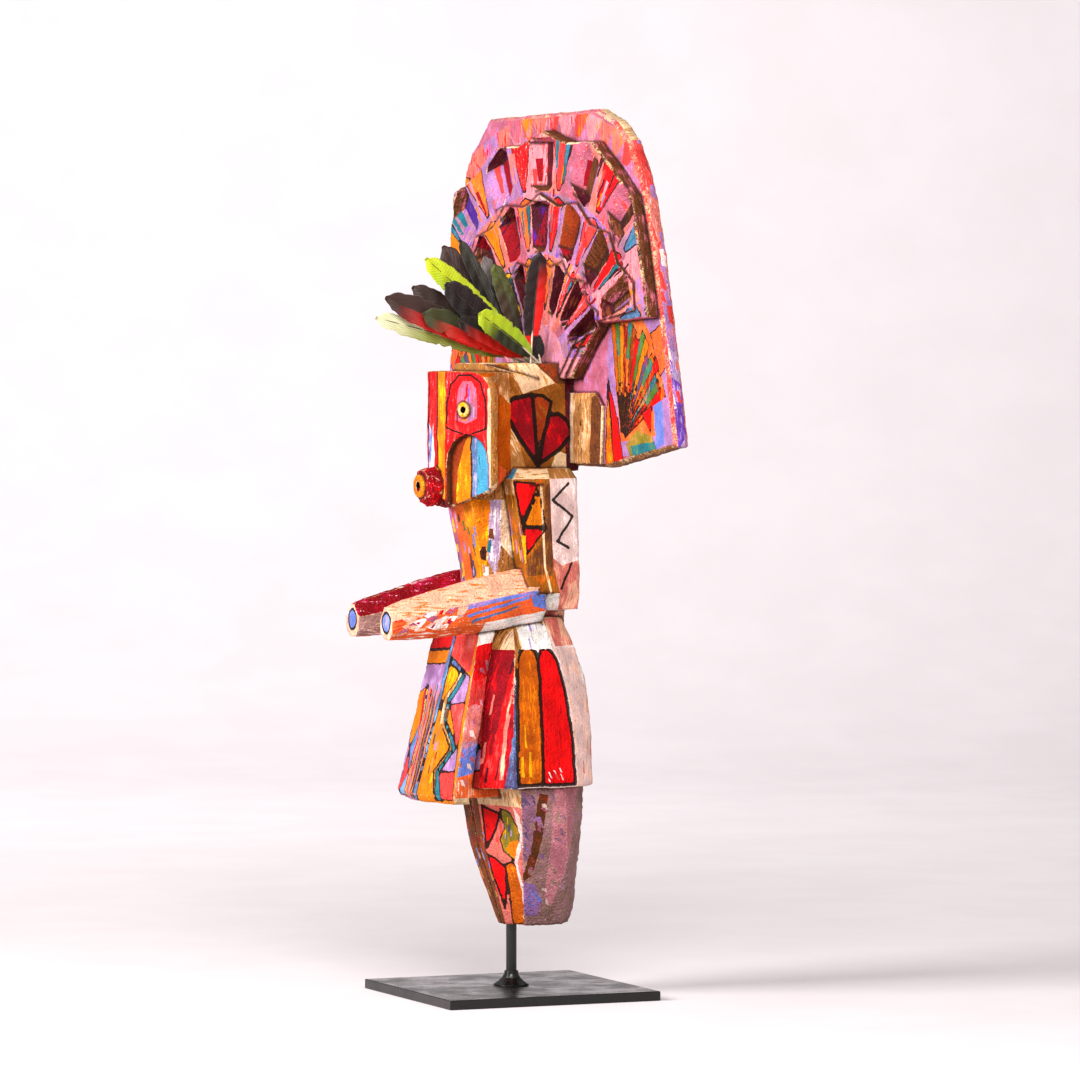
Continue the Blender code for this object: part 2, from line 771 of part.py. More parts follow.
def make_figure(material):
    figure = block("carved_figure", SKIRT_LEVELS)
    figure.data.materials.append(material)
    combine(figure, make_legs(), "UNION")
    combine(figure, block("apron_core_guide", APRON_CORE_LEVELS), "UNION")
    combine(figure, make_apron(), "UNION")
    combine(figure, block("torso_guide", TORSO_LEVELS), "UNION")
    for side in (1, -1):
        combine(figure, make_upper_arm(side), "UNION")
        combine(figure, make_forearm(side), "UNION")
        combine(figure, make_arm_cove(side), "DIFFERENCE")
    combine(figure, block("head_guide", HEAD_LEVELS), "UNION")
    combine(figure, make_mask(), "UNION")
    combine(figure, make_board(), "UNION")
    for side in (1, -1):
        pad = [
            [grid(front, side * l, up) for l, up in BOARD_PAD]
            for front in (BOARD_FRONT - ROW_ROOT, BOARD_FRONT + BOARD_PAD_HEIGHT)
        ]
        combine(figure, loft(f"board_pad_{side_name(side)}_guide", pad), "UNION")
    for row in range(len(ROW_REACH)):
        combine(figure, loft(f"feather_row_{row + 1}_guide", row_loops(row)), "UNION")
    combine(figure, make_channels(), "DIFFERENCE")
    for side in (1, -1):
        name = side_name(side)
        combine(figure, loft(f"niche_{name}_guide", niche_loops(side)), "DIFFERENCE")
        eye_ring = eye_cylinder(side, EYE_RING_RADIUS, -EYE_RING_ROOT, EYE_RING_HEIGHT)
        combine(figure, loft(f"eye_ring_{name}_guide", eye_ring), "UNION")
        eye_hole = eye_cylinder(side, EYE_HOLE_RADIUS, -EYE_HOLE_DEPTH, EYE_RING_HEIGHT + CUT_PAST)
        combine(figure, loft(f"eye_hole_{name}_guide", eye_hole), "DIFFERENCE")
    combine(figure, loft("mouth_guide", mouth_loops()), "UNION")
    lip = mouth_cylinder(MOUTH_RING_RADIUS, MOUTH_RING_ROOT, MOUTH_RING_END)
    combine(figure, loft("mouth_ring_guide", lip), "UNION")
    hole_root = MOUTH_RING_END - MOUTH_HOLE_DEPTH
    hole = mouth_cylinder(MOUTH_HOLE_RADIUS, hole_root, MOUTH_RING_END + CUT_PAST)
    combine(figure, loft("mouth_hole_guide", hole), "DIFFERENCE")
    combine(figure, make_leg_slit(1), "DIFFERENCE")
    combine(figure, make_leg_slit(-1), "DIFFERENCE")
    bore = ROD_DIAMETER / 2 + FIT_GAP
    socket_mouth = FIGURE_FOOT - CUT_PAST * STEP
    socket = round_loops([(bore, socket_mouth), (bore, FIGURE_FOOT + SOCKET_DEPTH)], ROD_SIDES)
    combine(figure, loft("socket_guide", socket), "DIFFERENCE")
    bm = bmesh.new()
    for index in range(len(FEATHERS)):
        add_quill_hole(bm, index)
    combine(figure, make_object("quill_holes_guide", bm), "DIFFERENCE")
    return figure


def main():
    gesso = make_material("painted_gesso_on_wood", (0.72, 0.33, 0.25), 0.75)
    steel = make_material("blackened_steel_plate", (0.035, 0.03, 0.028), 0.42, 0.9)
    rod_steel = make_material("blackened_steel_rod", (0.012, 0.01, 0.01), 0.3, 0.6)
    feather = make_material("parrot_feather", (0.12, 0.07, 0.05), 0.55)
    make_plate(steel)
    make_rod(rod_steel)
    make_bead(rod_steel)
    make_figure(gesso)
    for index in range(len(FEATHERS)):
        loft(f"feather_{index + 1:02d}", feather_loops(index), feather)


main()
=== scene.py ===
# %% [markdown]
# A carved and painted yei figure on its steel stand.
# The packed solids give every piece its true size and place. This lesson dresses them: the
# carving gets a fine mesh with hand-laid paint, the feathers get vanes and shafts, and the
# steel gets its finish. Lengths on the carving are grid steps of 0.73 mm, as its carver's grid.

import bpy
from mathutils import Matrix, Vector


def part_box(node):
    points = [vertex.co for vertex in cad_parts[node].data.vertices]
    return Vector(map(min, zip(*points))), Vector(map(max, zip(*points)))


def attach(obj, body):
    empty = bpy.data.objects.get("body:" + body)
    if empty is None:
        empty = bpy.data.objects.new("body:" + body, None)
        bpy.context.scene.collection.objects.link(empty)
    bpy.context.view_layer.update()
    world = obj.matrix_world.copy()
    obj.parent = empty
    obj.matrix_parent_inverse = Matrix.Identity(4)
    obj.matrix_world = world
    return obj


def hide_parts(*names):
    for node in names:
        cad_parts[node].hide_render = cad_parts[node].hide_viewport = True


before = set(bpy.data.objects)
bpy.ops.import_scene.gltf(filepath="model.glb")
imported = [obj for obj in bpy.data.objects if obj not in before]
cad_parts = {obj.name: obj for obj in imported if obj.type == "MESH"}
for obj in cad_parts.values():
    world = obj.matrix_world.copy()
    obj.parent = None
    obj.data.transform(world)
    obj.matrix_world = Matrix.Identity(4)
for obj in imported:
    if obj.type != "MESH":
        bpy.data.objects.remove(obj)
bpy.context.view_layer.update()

# %% [markdown]
# The carving's own box gives the grid: it is 810 steps tall, and each step is one unit of all
# the drawings below, so a mark can be placed by counting steps from the middle and the foot.

# %% Modules and the carver's grid
import math
import random

import bpy
import numpy as np
from mathutils import Vector, geometry, kdtree, noise

GRID_STEPS = 810
figure_low, figure_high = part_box("carved_figure")
STEP = (figure_high.z - figure_low.z) / GRID_STEPS
STEP_MM = STEP * 1000
FIGURE_FOOT = figure_low.z


def grid(front, left, up):
    """A point of the carving in metres, from grid steps in front, to the figure's left, and up."""
    return Vector((left * STEP, -front * STEP, FIGURE_FOOT + up * STEP))


print("one grid step is", round(STEP_MM, 3), "mm")

# %% [markdown]
# The paints are artists' acrylics over a cream ground. Each is named once here, as an sRGB
# hex value, and one function turns it to the linear values that the shader works in.

# %% Paint box
PAINTS = {
    "red": "#CF0D14", "scarlet": "#E4070B", "crimson": "#930A1C", "maroon": "#4E1422",
    "orange": "#DE7C08", "amber": "#C05C04", "tangerine": "#EC6A2E", "yellow": "#F6B30E",
    "coral": "#DC4440", "salmon": "#D8776C", "pink": "#D98C98", "rose": "#B8657C",
    "palepink": "#F4CFC8", "peach": "#F2B598", "cream": "#E4C29A", "tan": "#B27C44",
    "ochre": "#945A1A", "umber": "#6E4024", "bark": "#3E2218", "rust": "#953A12",
    "purple": "#4A2184", "violet": "#7648B0", "lilac": "#A87AAE", "lavender": "#B79BBE",
    "periwinkle": "#6F84D2", "steel": "#5A76A0", "sky": "#74A6D0", "turquoise": "#4C9ABC",
    "teal": "#26707E", "leaf": "#587832", "olive": "#847828", "slate": "#544E74",
    "mauve": "#A8788E", "taupe": "#AC847C", "magenta": "#B81856", "black": "#171210",
    "white": "#F6EFEA",
}


def linear(code):
    """An sRGB hex colour as linear red, green and blue."""
    values = [int(code[i:i + 2], 16) / 255 for i in (1, 3, 5)]
    return [v / 12.92 if v <= 0.04045 else ((v + 0.055) / 1.055) ** 2.4 for v in values]


LINEAR = {name: linear(code) for name, code in PAINTS.items()}
print(len(LINEAR), "paints in the box")

# %% [markdown]
# The carving was cut with knife and gouge from light wood, so its shape is a set of facets.
# The solid's triangles are first welded, then grown into facets wherever neighbours face
# almost the same way. Each facet can then be meshed and painted by itself, as a painter
# fills one facet after another.

# %% Weld the solid and grow facets
WELD = 1e-6
FACET_COS = math.cos(math.radians(14.0))
SLIVER = 0.05


def read_shell(node):
    """The node's welded corner points in grid steps (front, left, up), and its triangles."""
    mesh = node.data
    mesh.calc_loop_triangles()
    raw = np.array([v.co[:] for v in mesh.vertices])
    keys = {}
    ids = [keys.setdefault(tuple(k), len(keys)) for k in np.round(raw / WELD).astype(int).tolist()]
    welded = np.zeros((len(keys), 3))
    welded[ids] = raw
    shell = np.stack([-welded[:, 1], welded[:, 0], welded[:, 2] - FIGURE_FOOT], 1) / STEP
    corners = [[ids[i] for i in t.vertices] for t in mesh.loop_triangles]
    return shell, np.array([c for c in corners if len(set(c)) == 3])


def face_normals(points, corners):
    """Unit normals and areas of triangles."""
    a, b, c = (points[corners[:, i]] for i in range(3))
    cross = np.cross(b - a, c - a)
    length = np.linalg.norm(cross, axis=1)
    return cross / np.maximum(length, 1e-12)[:, None], length / 2


shell, corners = read_shell(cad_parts["carved_figure"])
normals, areas = face_normals(shell, corners)
edge_faces = {}
for index, triangle in enumerate(corners.tolist()):
    for a, b in zip(triangle, triangle[1:] + triangle[:1]):
        edge_faces.setdefault((min(a, b), max(a, b)), []).append(index)
neighbours = [[] for _ in corners]
for (a, b), pair in edge_faces.items():
    if len(pair) == 2:
        length = float(np.linalg.norm(shell[a] - shell[b]))
        neighbours[pair[0]].append((length, pair[1]))
        neighbours[pair[1]].append((length, pair[0]))

facet_of = np.full(len(corners), -1)
facet_count = 0
for seed in np.argsort(-areas):
    if facet_of[seed] >= 0 or areas[seed] < SLIVER:
        continue
    facet_of[seed] = facet_count
    waiting = [seed]
    while waiting:
        for _, other in neighbours[waiting.pop()]:
            if facet_of[other] < 0 and normals[other] @ normals[seed] > FACET_COS:
                facet_of[other] = facet_count
                waiting.append(other)
    facet_count += 1
for _ in range(6):
    for index in np.nonzero(facet_of < 0)[0]:
        for _, other in sorted(neighbours[index], reverse=True):
            if facet_of[other] >= 0:
                facet_of[index] = facet_of[other]
                break
print(len(shell), "points,", len(corners), "triangles,", facet_count, "facets")

# %% [markdown]
# A facet is drawn on a flat chart: a face that looks forwards or back by (left, up), a side
# face by (front, up), and a top or underside by (front, left). The far side of the figure
# uses the near side's chart turned over, so that one drawing serves both.

# %% Facet facts and charts
CHART_AXES = ((1, 2), (0, 2), (0, 1))
BOTH_SIDES = 12.0  # a facet that reaches this far out on both sides is painted in mirror image
SEEN_FROM = np.array((0.39, 0.92, 0.1))  # towards the studio's camera: front, left, up
FINE_GAP, MIDDLE_GAP, BACK_GAP = 2.9, 4.0, 6.5  # between mesh points, in grid steps
BACKWARDS = -0.7


class Facet:
    """One flat-looking cut of the carving: its triangles, its mean normal, centre and chart."""

    def __init__(self, index):
        self.index = index
        self.faces = np.nonzero(facet_of == index)[0]
        weight = areas[self.faces][:, None]
        total = (normals[self.faces] * weight).sum(0)
        self.normal = total / max(np.linalg.norm(total), 1e-12)
        middles = shell[corners[self.faces]].mean(1)
        self.centre = (middles * weight).sum(0) / weight.sum()
        self.area = float(weight.sum())
        points = shell[np.unique(corners[self.faces])]
        self.low, self.high = points.min(0), points.max(0)
        self.axes = CHART_AXES[int(np.argmax(np.abs(self.normal)))]
        self.spans = self.low[1] < -BOTH_SIDES and self.high[1] > BOTH_SIDES
        self.far = self.centre[1] < 0 and not self.spans
        self.zone = None

    def chart(self, points):
        """Points (front, left, up) as chart coordinates."""
        flat = points[..., list(self.axes)].copy()
        if self.zone["mirror"] and self.far and 1 in self.axes:
            flat[..., self.axes.index(1)] *= -1
        return flat

    def marks(self):
        """The zone's patches, and their mirror images too on a facet that spans both sides."""
        marks = self.zone["marks"]
        if self.spans and self.zone["mirror"]:
            flip = [-1 if axis == 1 else 1 for axis in self.axes]
            turned = [[(x * flip[0], y * flip[1]) for x, y in m["line"]] for m in marks]
            marks = marks + [{**m, "line": line} for m, line in zip(marks, turned)]
        return marks

    def spacing(self):
        """How far apart the fine mesh's points lie, closer where the figure is seen best."""
        if self.normal @ SEEN_FROM > 0.02:
            return FINE_GAP
        return MIDDLE_GAP if self.normal[0] > BACKWARDS else BACK_GAP


facets = [Facet(i) for i in range(facet_count)]
print("largest facet is", round(max(f.area for f in facets) * STEP_MM ** 2), "square mm")

# %% [markdown]
# Paint is laid in patches with thin dark outlines. A patch is a polygon on a facet's chart
# with three paints: a main one, a second one dragged over it in streaks, and a dry fleck.
# A little wobble keeps every edge hand drawn.

# %% Patches and drawn lines
WOBBLE = 0.8  # how far a line strays, in grid steps
WOBBLE_PITCH = 0.11  # how quickly it strays
WOBBLE_SEED = 3.7
SAMPLE = 2.4  # the length of one piece of a line
WOBBLE_DRAW = 7  # fixes the noise below, so that every run strays alike
noise.seed_set(WOBBLE_DRAW)


def wobble(x, y):
    """Moves a chart point a little, as an unsteady hand would."""
    shift = noise.noise_vector(Vector((x * WOBBLE_PITCH, y * WOBBLE_PITCH, WOBBLE_SEED)))
    return x + WOBBLE * shift.x, y + WOBBLE * shift.y


def sampled(points, closed=True):
    """A polyline with points every few steps, each wobbled."""
    result = []
    ends = points[1:] + points[:1] if closed else points[1:]
    for (ax, ay), (bx, by) in zip(points, ends):
        count = max(1, round(math.hypot(bx - ax, by - ay) / SAMPLE))
        for i in range(count):
            result.append(wobble(ax + (bx - ax) * i / count, ay + (by - ay) * i / count))
    if not closed:
        result.append(wobble(*points[-1]))
    return result


def three_paints(*words):
    """The main, dragged and fleck paint from their names; a missing one repeats the last."""
    named = " ".join(words).split()
    return tuple((named + named[-1:] * 2)[:3])


def patch(points, *paints, ink=0.0):
    """A painted polygon. ink is the half width of its dark outline in grid steps."""
    return {"line": sampled(list(points)), "closed": True, "ink": ink, "paints": three_paints(*paints)}


def drawn(points, ink):
    """A dark line drawn along some points."""
    return {"line": sampled(list(points), False), "closed": False, "ink": ink, "paints": None}


def band(x0, x1, y0, y1, *paints, ink=0.0):
    """A rectangular patch."""
    return patch([(x0, y0), (x1, y0), (x1, y1), (x0, y1)], *paints, ink=ink)


def disc(x, y, radius, *paints, ink=0.0, sides=14):
    """A round patch."""
    turn = 2 * math.pi / sides
    ring = [(x + radius * math.cos(i * turn), y + radius * math.sin(i * turn)) for i in range(sides)]
    return patch(ring, *paints, ink=ink)


def dashes(seed, count, x_range, y_range, length, width, paints, lean=0.0):
    """Short brush marks scattered over a part of a facet."""
    draw = random.Random(seed)
    marks = []
    for _ in range(count):
        x, y = draw.uniform(*x_range), draw.uniform(*y_range)
        half, rise = width * draw.uniform(0.4, 1.0), length * draw.uniform(0.5, 1.0)
        slide = lean * rise
        tint = draw.choice(paints.split())
        marks.append(patch([(x - half, y), (x + half, y + half), (x + half * 0.6 + slide, y + rise),
                            (x - half * 0.7 + slide, y + rise)], tint))
    return marks


def washes(seed, number, x_range, y_range, paints):
    """Broad brush washes side by side, as a maker covers a plain back."""
    draw = random.Random(seed)
    width = (x_range[1] - x_range[0]) / number
    marks = []
    for i in range(number):
        x = x_range[0] + i * width
        low = y_range[0] + draw.uniform(-0.1, 0.35) * (y_range[1] - y_range[0])
        high = y_range[1] - draw.uniform(-0.1, 0.35) * (y_range[1] - y_range[0])
        lean = draw.uniform(-0.4, 0.4) * width
        tint, other = draw.choice(paints.split()), draw.choice(paints.split())
        marks.append(patch([(x, low), (x + width * 1.2, low + draw.uniform(-20, 20)),
                            (x + width + lean, high), (x + lean, high - draw.uniform(0, 24))], tint, other))
    return marks


print("patch helpers ready")

# %% [markdown]
# Zones say which paints a facet takes. Each has a test on the facet's place and direction;
# the first that fits wins. Sides are tested by distance from the middle, so both halves of
# the figure fall into the same zones.

# %% Zone list
zones = []


def zone(name, test, paints, thick=0.3, turn=90.0, marks=(), mirror=True):
    """Adds a zone: its ground paints, how thick they lie, the brush's direction and its patches."""
    zones.append({"name": name, "test": test, "paints": three_paints(paints), "thick": thick,
                  "turn": turn, "marks": list(marks), "mirror": mirror})


class Gist:
    """What a zone's test reads of a facet: where its centre lies, and how far it faces each way."""

    def __init__(self, facet):
        self.front, self.left, self.up = facet.centre
        self.ahead, self.leftward, self.above = facet.normal
        self.side, self.area = abs(self.left), facet.area
        self.outward = self.leftward * (-1 if facet.far else 1)


print("zone tests read", ", ".join(vars(Gist(facets[0]))))


# %% [markdown]
# The mask has a middle strip, two swept side panels with a round-topped niche, a raised ring
# round each eye, and a round mouth built up in thick crimson paint.

# %% Mask
EYE = np.array((69.3, 43.9, 515.5))
MOUTH_UP = 439.0
SWEEP = math.radians(29.3)


def panel_out(g):
    """How far a facet lies in front of the mask's side panel."""
    return (g.front - 81) * math.cos(SWEEP) + (g.side - 23) * math.sin(SWEEP)


def eye_reach(g):
    """How far a facet lies from the eye's middle."""
    return math.hypot(math.hypot(g.front - EYE[0], g.side - EYE[1]), g.up - EYE[2])


def mouth_reach(g):
    """How far a facet lies from the mouth's axis."""
    return math.hypot(g.left, g.up - MOUTH_UP)


# Painted shade: the inside of the mouth hole is painted black.
zone("mouth hole", lambda g: g.front > 78 and mouth_reach(g) < 5.3 and g.area < 110, "black black bark")
zone("mouth ring", lambda g: g.front > 93 and mouth_reach(g) < 13 and (g.front > 99 or g.area < 300),
     "orange yellow amber", 0.8)
zone("mouth", lambda g: g.front > 75 and mouth_reach(g) < 27 and g.up < 465 and not g.ahead < -0.2
     and (g.ahead < 0.8 or g.front > 84), "crimson scarlet palepink", 2.2)
# Painted shade: the inside of each eye hole is painted black.
zone("eye hole", lambda g: eye_reach(g) < 10 and (eye_reach(g) < 3.7 or panel_out(g) < -1.5)
     and g.area < 120,
     "black bark black")
zone("eye ring", lambda g: eye_reach(g) < 9 and g.area < 220, "yellow amber orange", 0.8)
strip_marks = [
    band(3, 26, 424, 556, "orange yellow amber"),
    drawn([(3, 428), (3.5, 466), (2.5, 492), (3.5, 520), (3, 552)], 1.3),
    drawn([(-20, 428), (-19, 470), (-20, 510), (-19, 550)], 1.2),
    patch([(-19, 500), (-12, 492), (-8, 460), (-14, 430), (-19, 430)], "periwinkle white steel"),
    patch([(-9, 500), (-4, 470), (-8, 440), (-13, 462)], "white palepink red"),
]
zone("mask strip", lambda g: g.ahead > 0.9 and g.front > 76 and g.side < 20, "red coral pink",
     0.5, marks=strip_marks, mirror=False)
eye_arch = [(24, 496), (25, 522), (29, 539), (38, 548), (51, 549), (61, 542), (67, 524), (68, 496),
    (46, 489)]
panel_marks = [
    band(69.5, 78, 424, 556, "peach cream palepink"),
    band(20, 78, 551, 558, "palepink cream white"),
    patch(eye_arch, "red coral rose", ink=0.8),
    patch([(34, 504), (37, 534), (43, 543), (52, 543), (58, 530), (58, 506), (46, 500)], "rose coral lilac"),
    *dashes(11, 16, (37, 56), (500, 532), 15, 1.3, "lilac violet palepink mauve lavender", 0.1),
    *dashes(12, 8, (28, 64), (500, 530), 14, 1.1, "red crimson scarlet"),
    disc(43.9, 506, 3.5, "orange yellow amber", sides=8),
]
zone("niche floor", lambda g: g.ahead > 0.6 and g.area > 60 and 415 < g.up < 500 and 20 < g.side < 74
     and panel_out(g) < -1.0, "orange yellow amber", 0.5, marks=[
         # painted shade: rust and umber down the deep side of the scoop
         patch([(20, 420), (27, 420), (30, 455), (37, 478), (44, 492), (20, 492)], "rust umber amber"),
         patch([(47, 415), (58, 415), (58, 497), (47, 497)], "steel lavender slate"),
         patch([(54, 415), (68, 415), (66, 480), (54, 492)], "turquoise teal sky"),
         patch([(67, 415), (74, 415), (74, 460), (67, 470)], "periwinkle lavender lilac"),
         drawn([(46, 420), (46.5, 458), (46, 495)], 0.8)])
zone("mask panel", lambda g: g.ahead > 0.75 and g.outward > 0.3 and g.front > 50 and g.up > 425
     and g.area > 100,
     "red coral pink", 0.6, marks=panel_marks)
# Painted shade: the niche's walls are painted dark umber, the shade inside the recess.
zone("niche wall", lambda g: g.front > 50 and 22 < g.side < 72 and 420 < g.up < 495
     and panel_out(g) < -0.3 and panel_out(g) > -9 and abs(g.ahead) < 0.75 and g.area < 900,
     "umber rust bark")
zone("chin", lambda g: g.front > 22 and 408 < g.up < 445 and g.above < -0.25, "cream tan umber", 0.6, 0.0)
zone("mask cheek", lambda g: 20 < g.front < 62 and 412 < g.up < 556 and g.outward > 0.3 and g.side < 66
     and g.ahead < 0.5, "amber ochre tangerine", 0.3, marks=[
         patch([(15, 412), (66, 412), (66, 452), (40, 462), (15, 446)], "tangerine coral rust"),
         patch([(15, 512), (36, 530), (66, 524), (66, 560), (15, 560)], "tan cream ochre")])
zone("mask rim", lambda g: g.front > 20 and 412 < g.up < 560 and g.side < 80, "tan ochre cream", 0.5)
print(len(zones), "zones after the mask")

# %% [markdown]
# The head behind the mask is a plain block with a fan of three petals in black outline on
# each side, a maroon strip at its back and a cream bevel above.

# %% Head
petal_fan = [
    patch([(-8, 458), (9, 482), (29, 512), (28, 519), (18, 526), (-2, 529)], "crimson red maroon", ink=2.2),
    patch([(-8, 458), (-2, 529), (-12, 528), (-22, 522), (-18, 500)], "rust ochre umber", ink=1.6),
    patch([(-8, 460), (-19, 508), (-29, 510), (-38, 504), (-46, 491), (-29, 473)], "crimson red maroon",
        ink=2.0),
]
zone("head side", lambda g: g.outward > 0.8 and -56 < g.front < 30 and 450 < g.up < 562 and 40 < g.side < 58,
     "ochre tan umber", 0.35, 60.0, marks=[
         patch([(22, 561), (-4, 561), (-26, 540), (8, 530), (18, 545)], "cream tan yellow"),
         # painted shadow: umber at the top of the head's back, under the feathers and board
         patch([(-4, 561), (-60, 561), (-60, 538), (-26, 540)], "umber rust bark"),
         patch([(4, 453), (22, 453), (24, 500), (12, 482)], "tan cream ochre"),
         band(-60, -37, 453, 548, "maroon crimson bark"),
         patch([(-20, 452), (-38, 452), (-38, 470), (-28, 474)], "cream taupe tan"), *petal_fan])
zone("head top", lambda g: g.above > 0.7 and g.up > 545 and g.front > -46 and g.side < 60,
     "cream palepink tan", 0.7, 0.0, marks=[
         patch([(10, -60), (30, -60), (20, 60), (5, 60)], "yellow cream orange"),
         # painted shadow: umber over the back half of the head's top, under the feathers
         band(-60, -6, -60, 60, "umber bark maroon")])
zone("head under", lambda g: g.above < -0.6 and 440 < g.up < 470 and g.front > -56, "umber tan bark")
zone("head rest", lambda g: g.front > -45 and 440 < g.up < 565 and g.side < 62, "tan cream ochre", 0.5)
print(len(zones), "zones after the head")

# %% [markdown]
# The arms hang from narrow shoulders and bend forward. The upper arm carries inverted
# triangles on ochre, and behind them a pale strip with a black zigzag. The forearm is peach
# above and orange at the side, with blue strokes, and its end is crusted in white and red.

# %% Arms
arm_marks = [
    # painted shade: an umber band down the arm side's back edge, where the groove behind it is shaded
    band(-14, -6.5, 350, 456, "umber ochre bark"),
    patch([(25, 443), (0, 441), (17, 402)], "scarlet red crimson", ink=0.9),
    patch([(0, 433), (15, 400), (-7.5, 399)], "orange amber yellow", ink=0.8),
    patch([(16, 397), (-8, 397.5), (11, 371)], "red scarlet crimson", ink=0.8),
    patch([(23, 389), (13, 390), (12, 360), (23, 358)], "yellow orange cream"),
    patch([(8, 370), (-8, 388), (-12, 350), (20, 350)], "umber ochre rust"),
]
zone("shoulder", lambda g: g.above > 0.5 and 436 < g.up < 470 and g.side > 30, "cream tan umber", 0.6, 0.0)
zone("arm front", lambda g: g.ahead > 0.6 and 355 < g.up < 460 and 34 < g.side < 74, "ochre amber tan",
     0.4, marks=[band(34, 74, 430, 460, "tan cream umber"), *dashes(
         21, 10, (40, 66), (362, 420), 20, 2.0, "yellow lilac olive umber")])
zone("arm side", lambda g: g.outward > 0.9 and 340 < g.up < 462 and g.front > -16 and g.side > 50,
     "ochre amber tan", 0.4, marks=arm_marks)
zigzag = [(-36, 441), (-15, 425), (-41, 408), (-20, 384), (-35, 377)]
zone("arm back side", lambda g: g.outward > 0.6 and g.ahead < 0.05 and 290 < g.up < 462 and g.front < 0,
     "palepink white pink", 0.4, marks=[
         patch([(-8, 372), (-26, 360), (-56, 366), (-56, 280), (-8, 280)], "salmon peach coral"),
         patch([(-34, 340), (-56, 350), (-56, 280), (-30, 280)], "peach salmon palepink"),
         drawn(zigzag, 1.25), drawn([(-39, 362), (-24, 337)], 1.2)])
zone("hand end", lambda g: g.ahead > 0.6 and g.front > 128 and g.up < 345 and g.side > 14,
     "peach white cream", 0.8, marks=[disc(45, 305, 10.5, "periwinkle lavender steel", ink=1.3)])
fore_side = [
    patch([(12, 344), (-12, 344), (-12, 316), (6, 320)], "periwinkle lilac lavender"),
    patch([(82, 322), (40, 334), (4, 343), (0, 333), (38, 326), (80, 317)], "periwinkle lilac lavender"),
    patch([(76, 313), (10, 331), (10, 328), (76, 310)], "periwinkle steel peach"),
    patch([(72, 307), (22, 321), (22, 319), (72, 304)], "steel periwinkle peach"),
    patch([(90, 328), (70, 330), (80, 312), (96, 304)], "peach taupe lilac"),
    patch([(-12, 312), (20, 309), (64, 294), (64, 280), (-12, 280)], "white palepink cream"),
    patch([(160, 345), (94, 345), (86, 318), (90, 284), (160, 284)], "tangerine coral scarlet"),
    *dashes(31, 62, (92, 144), (288, 330), 9.0, 4.6, "white palepink white peach rose", -0.9),
    *dashes(35, 16, (92, 140), (290, 330), 5, 2.6, "scarlet red magenta lavender", -0.9),
]
fore_top = [
    *dashes(32, 12, (4, 84), (48, 70), 12, 6.5, "yellow orange amber cream", 0.5),
    *dashes(33, 26, (80, 146), (30, 64), 6, 4.0, "white palepink coral white", 0.6),
]
far_top = [
    *dashes(36, 60, (0, 120), (26, 70), 8, 4.6, "magenta crimson rose red purple palepink", 0.5),
    *dashes(37, 26, (70, 146), (26, 66), 8, 4.6, "white palepink rose mauve", 0.5),
]
zone("far forearm top", lambda g: g.above > 0.5 and g.front > -30 and 312 < g.up < 352
     and -78 < g.left < -12,
     "crimson magenta white", 1.6, 0.0, marks=far_top)
zone("forearm top", lambda g: g.above > 0.5 and g.front > -30 and 312 < g.up < 352 and 12 < g.side < 78,
     "peach tangerine cream", 1.0, 0.0, marks=fore_top)
zone("forearm side", lambda g: g.outward > 0.35 and g.front > -2 and 303 < g.up < 350 and 30 < g.side < 78,
     "tangerine coral peach", 1.1, -12.0, marks=fore_side)
zone("forearm inside", lambda g: g.outward < -0.3 and g.front > 10 and 290 < g.up < 350 and 10 < g.side < 60,
     "taupe palepink pink", 0.6, -12.0, marks=dashes(
         34, 26, (60, 142), (300, 345), 5, 3.0, "magenta white crimson pink", -0.6))
zone("forearm under", lambda g: g.front > -2 and 280 < g.up < 352 and 10 < g.side < 78 and g.above < 0.2
     and g.front + g.up > 330, "tangerine white coral", 1.0, 0.0, marks=[
         band(-20, 58, -80, 80, "white palepink cream")])
zone("elbow", lambda g: 296 < g.up < 362 and g.side > 44 and g.front < 30, "white cream pink", 0.8)
print(len(zones), "zones after the arms")

# %% [markdown]
# The chest is short and painted in loose upright strokes. Under it a skirt flares out, with
# an arched panel on each side, and over its front hangs an apron in two faces, the near one
# with a zigzag of teal and tan and the far one with bands and close stripes.

# %% Chest
zone("chest", lambda g: g.ahead > 0.6 and 296 < g.up < 425 and g.side < 40 and g.front < 62,
     "tangerine orange coral", 0.8, mirror=False, marks=[
         band(-42, -17, 290, 425, "rose coral red"), band(9, 45, 290, 425, "orange yellow ochre"),
         *dashes(41, 34, (-36, 36), (306, 404), 17, 3.4,
                 "lilac periwinkle leaf slate yellow umber lavender teal", 0.03)])
zone("chest side", lambda g: g.outward > 0.6 and 296 < g.up < 430 and g.side < 48, "tan umber cream",
     1.0, marks=[
         band(39, 60, 290, 425, "orange yellow ochre"),
         patch([(40, 425), (40, 366), (33, 350), (28, 372), (28, 425)], "lavender white slate"),
         patch([(28, 425), (28, 380), (14, 366), (8, 425)], "cream white lavender"),
         *dashes(42, 20, (10, 50), (306, 400), 18, 3.0,
                 "umber white teal rust taupe bark leaf", 0.03)])

print("the chest has", len(zones[-2]["marks"]) + len(zones[-1]["marks"]), "strokes")

# %% [markdown]
# The apron is a folded slab: two flat faces that meet in a ridge down its middle. The near
# face has the zigzag, made as two long bent strips, and the far one has bands over stripes.

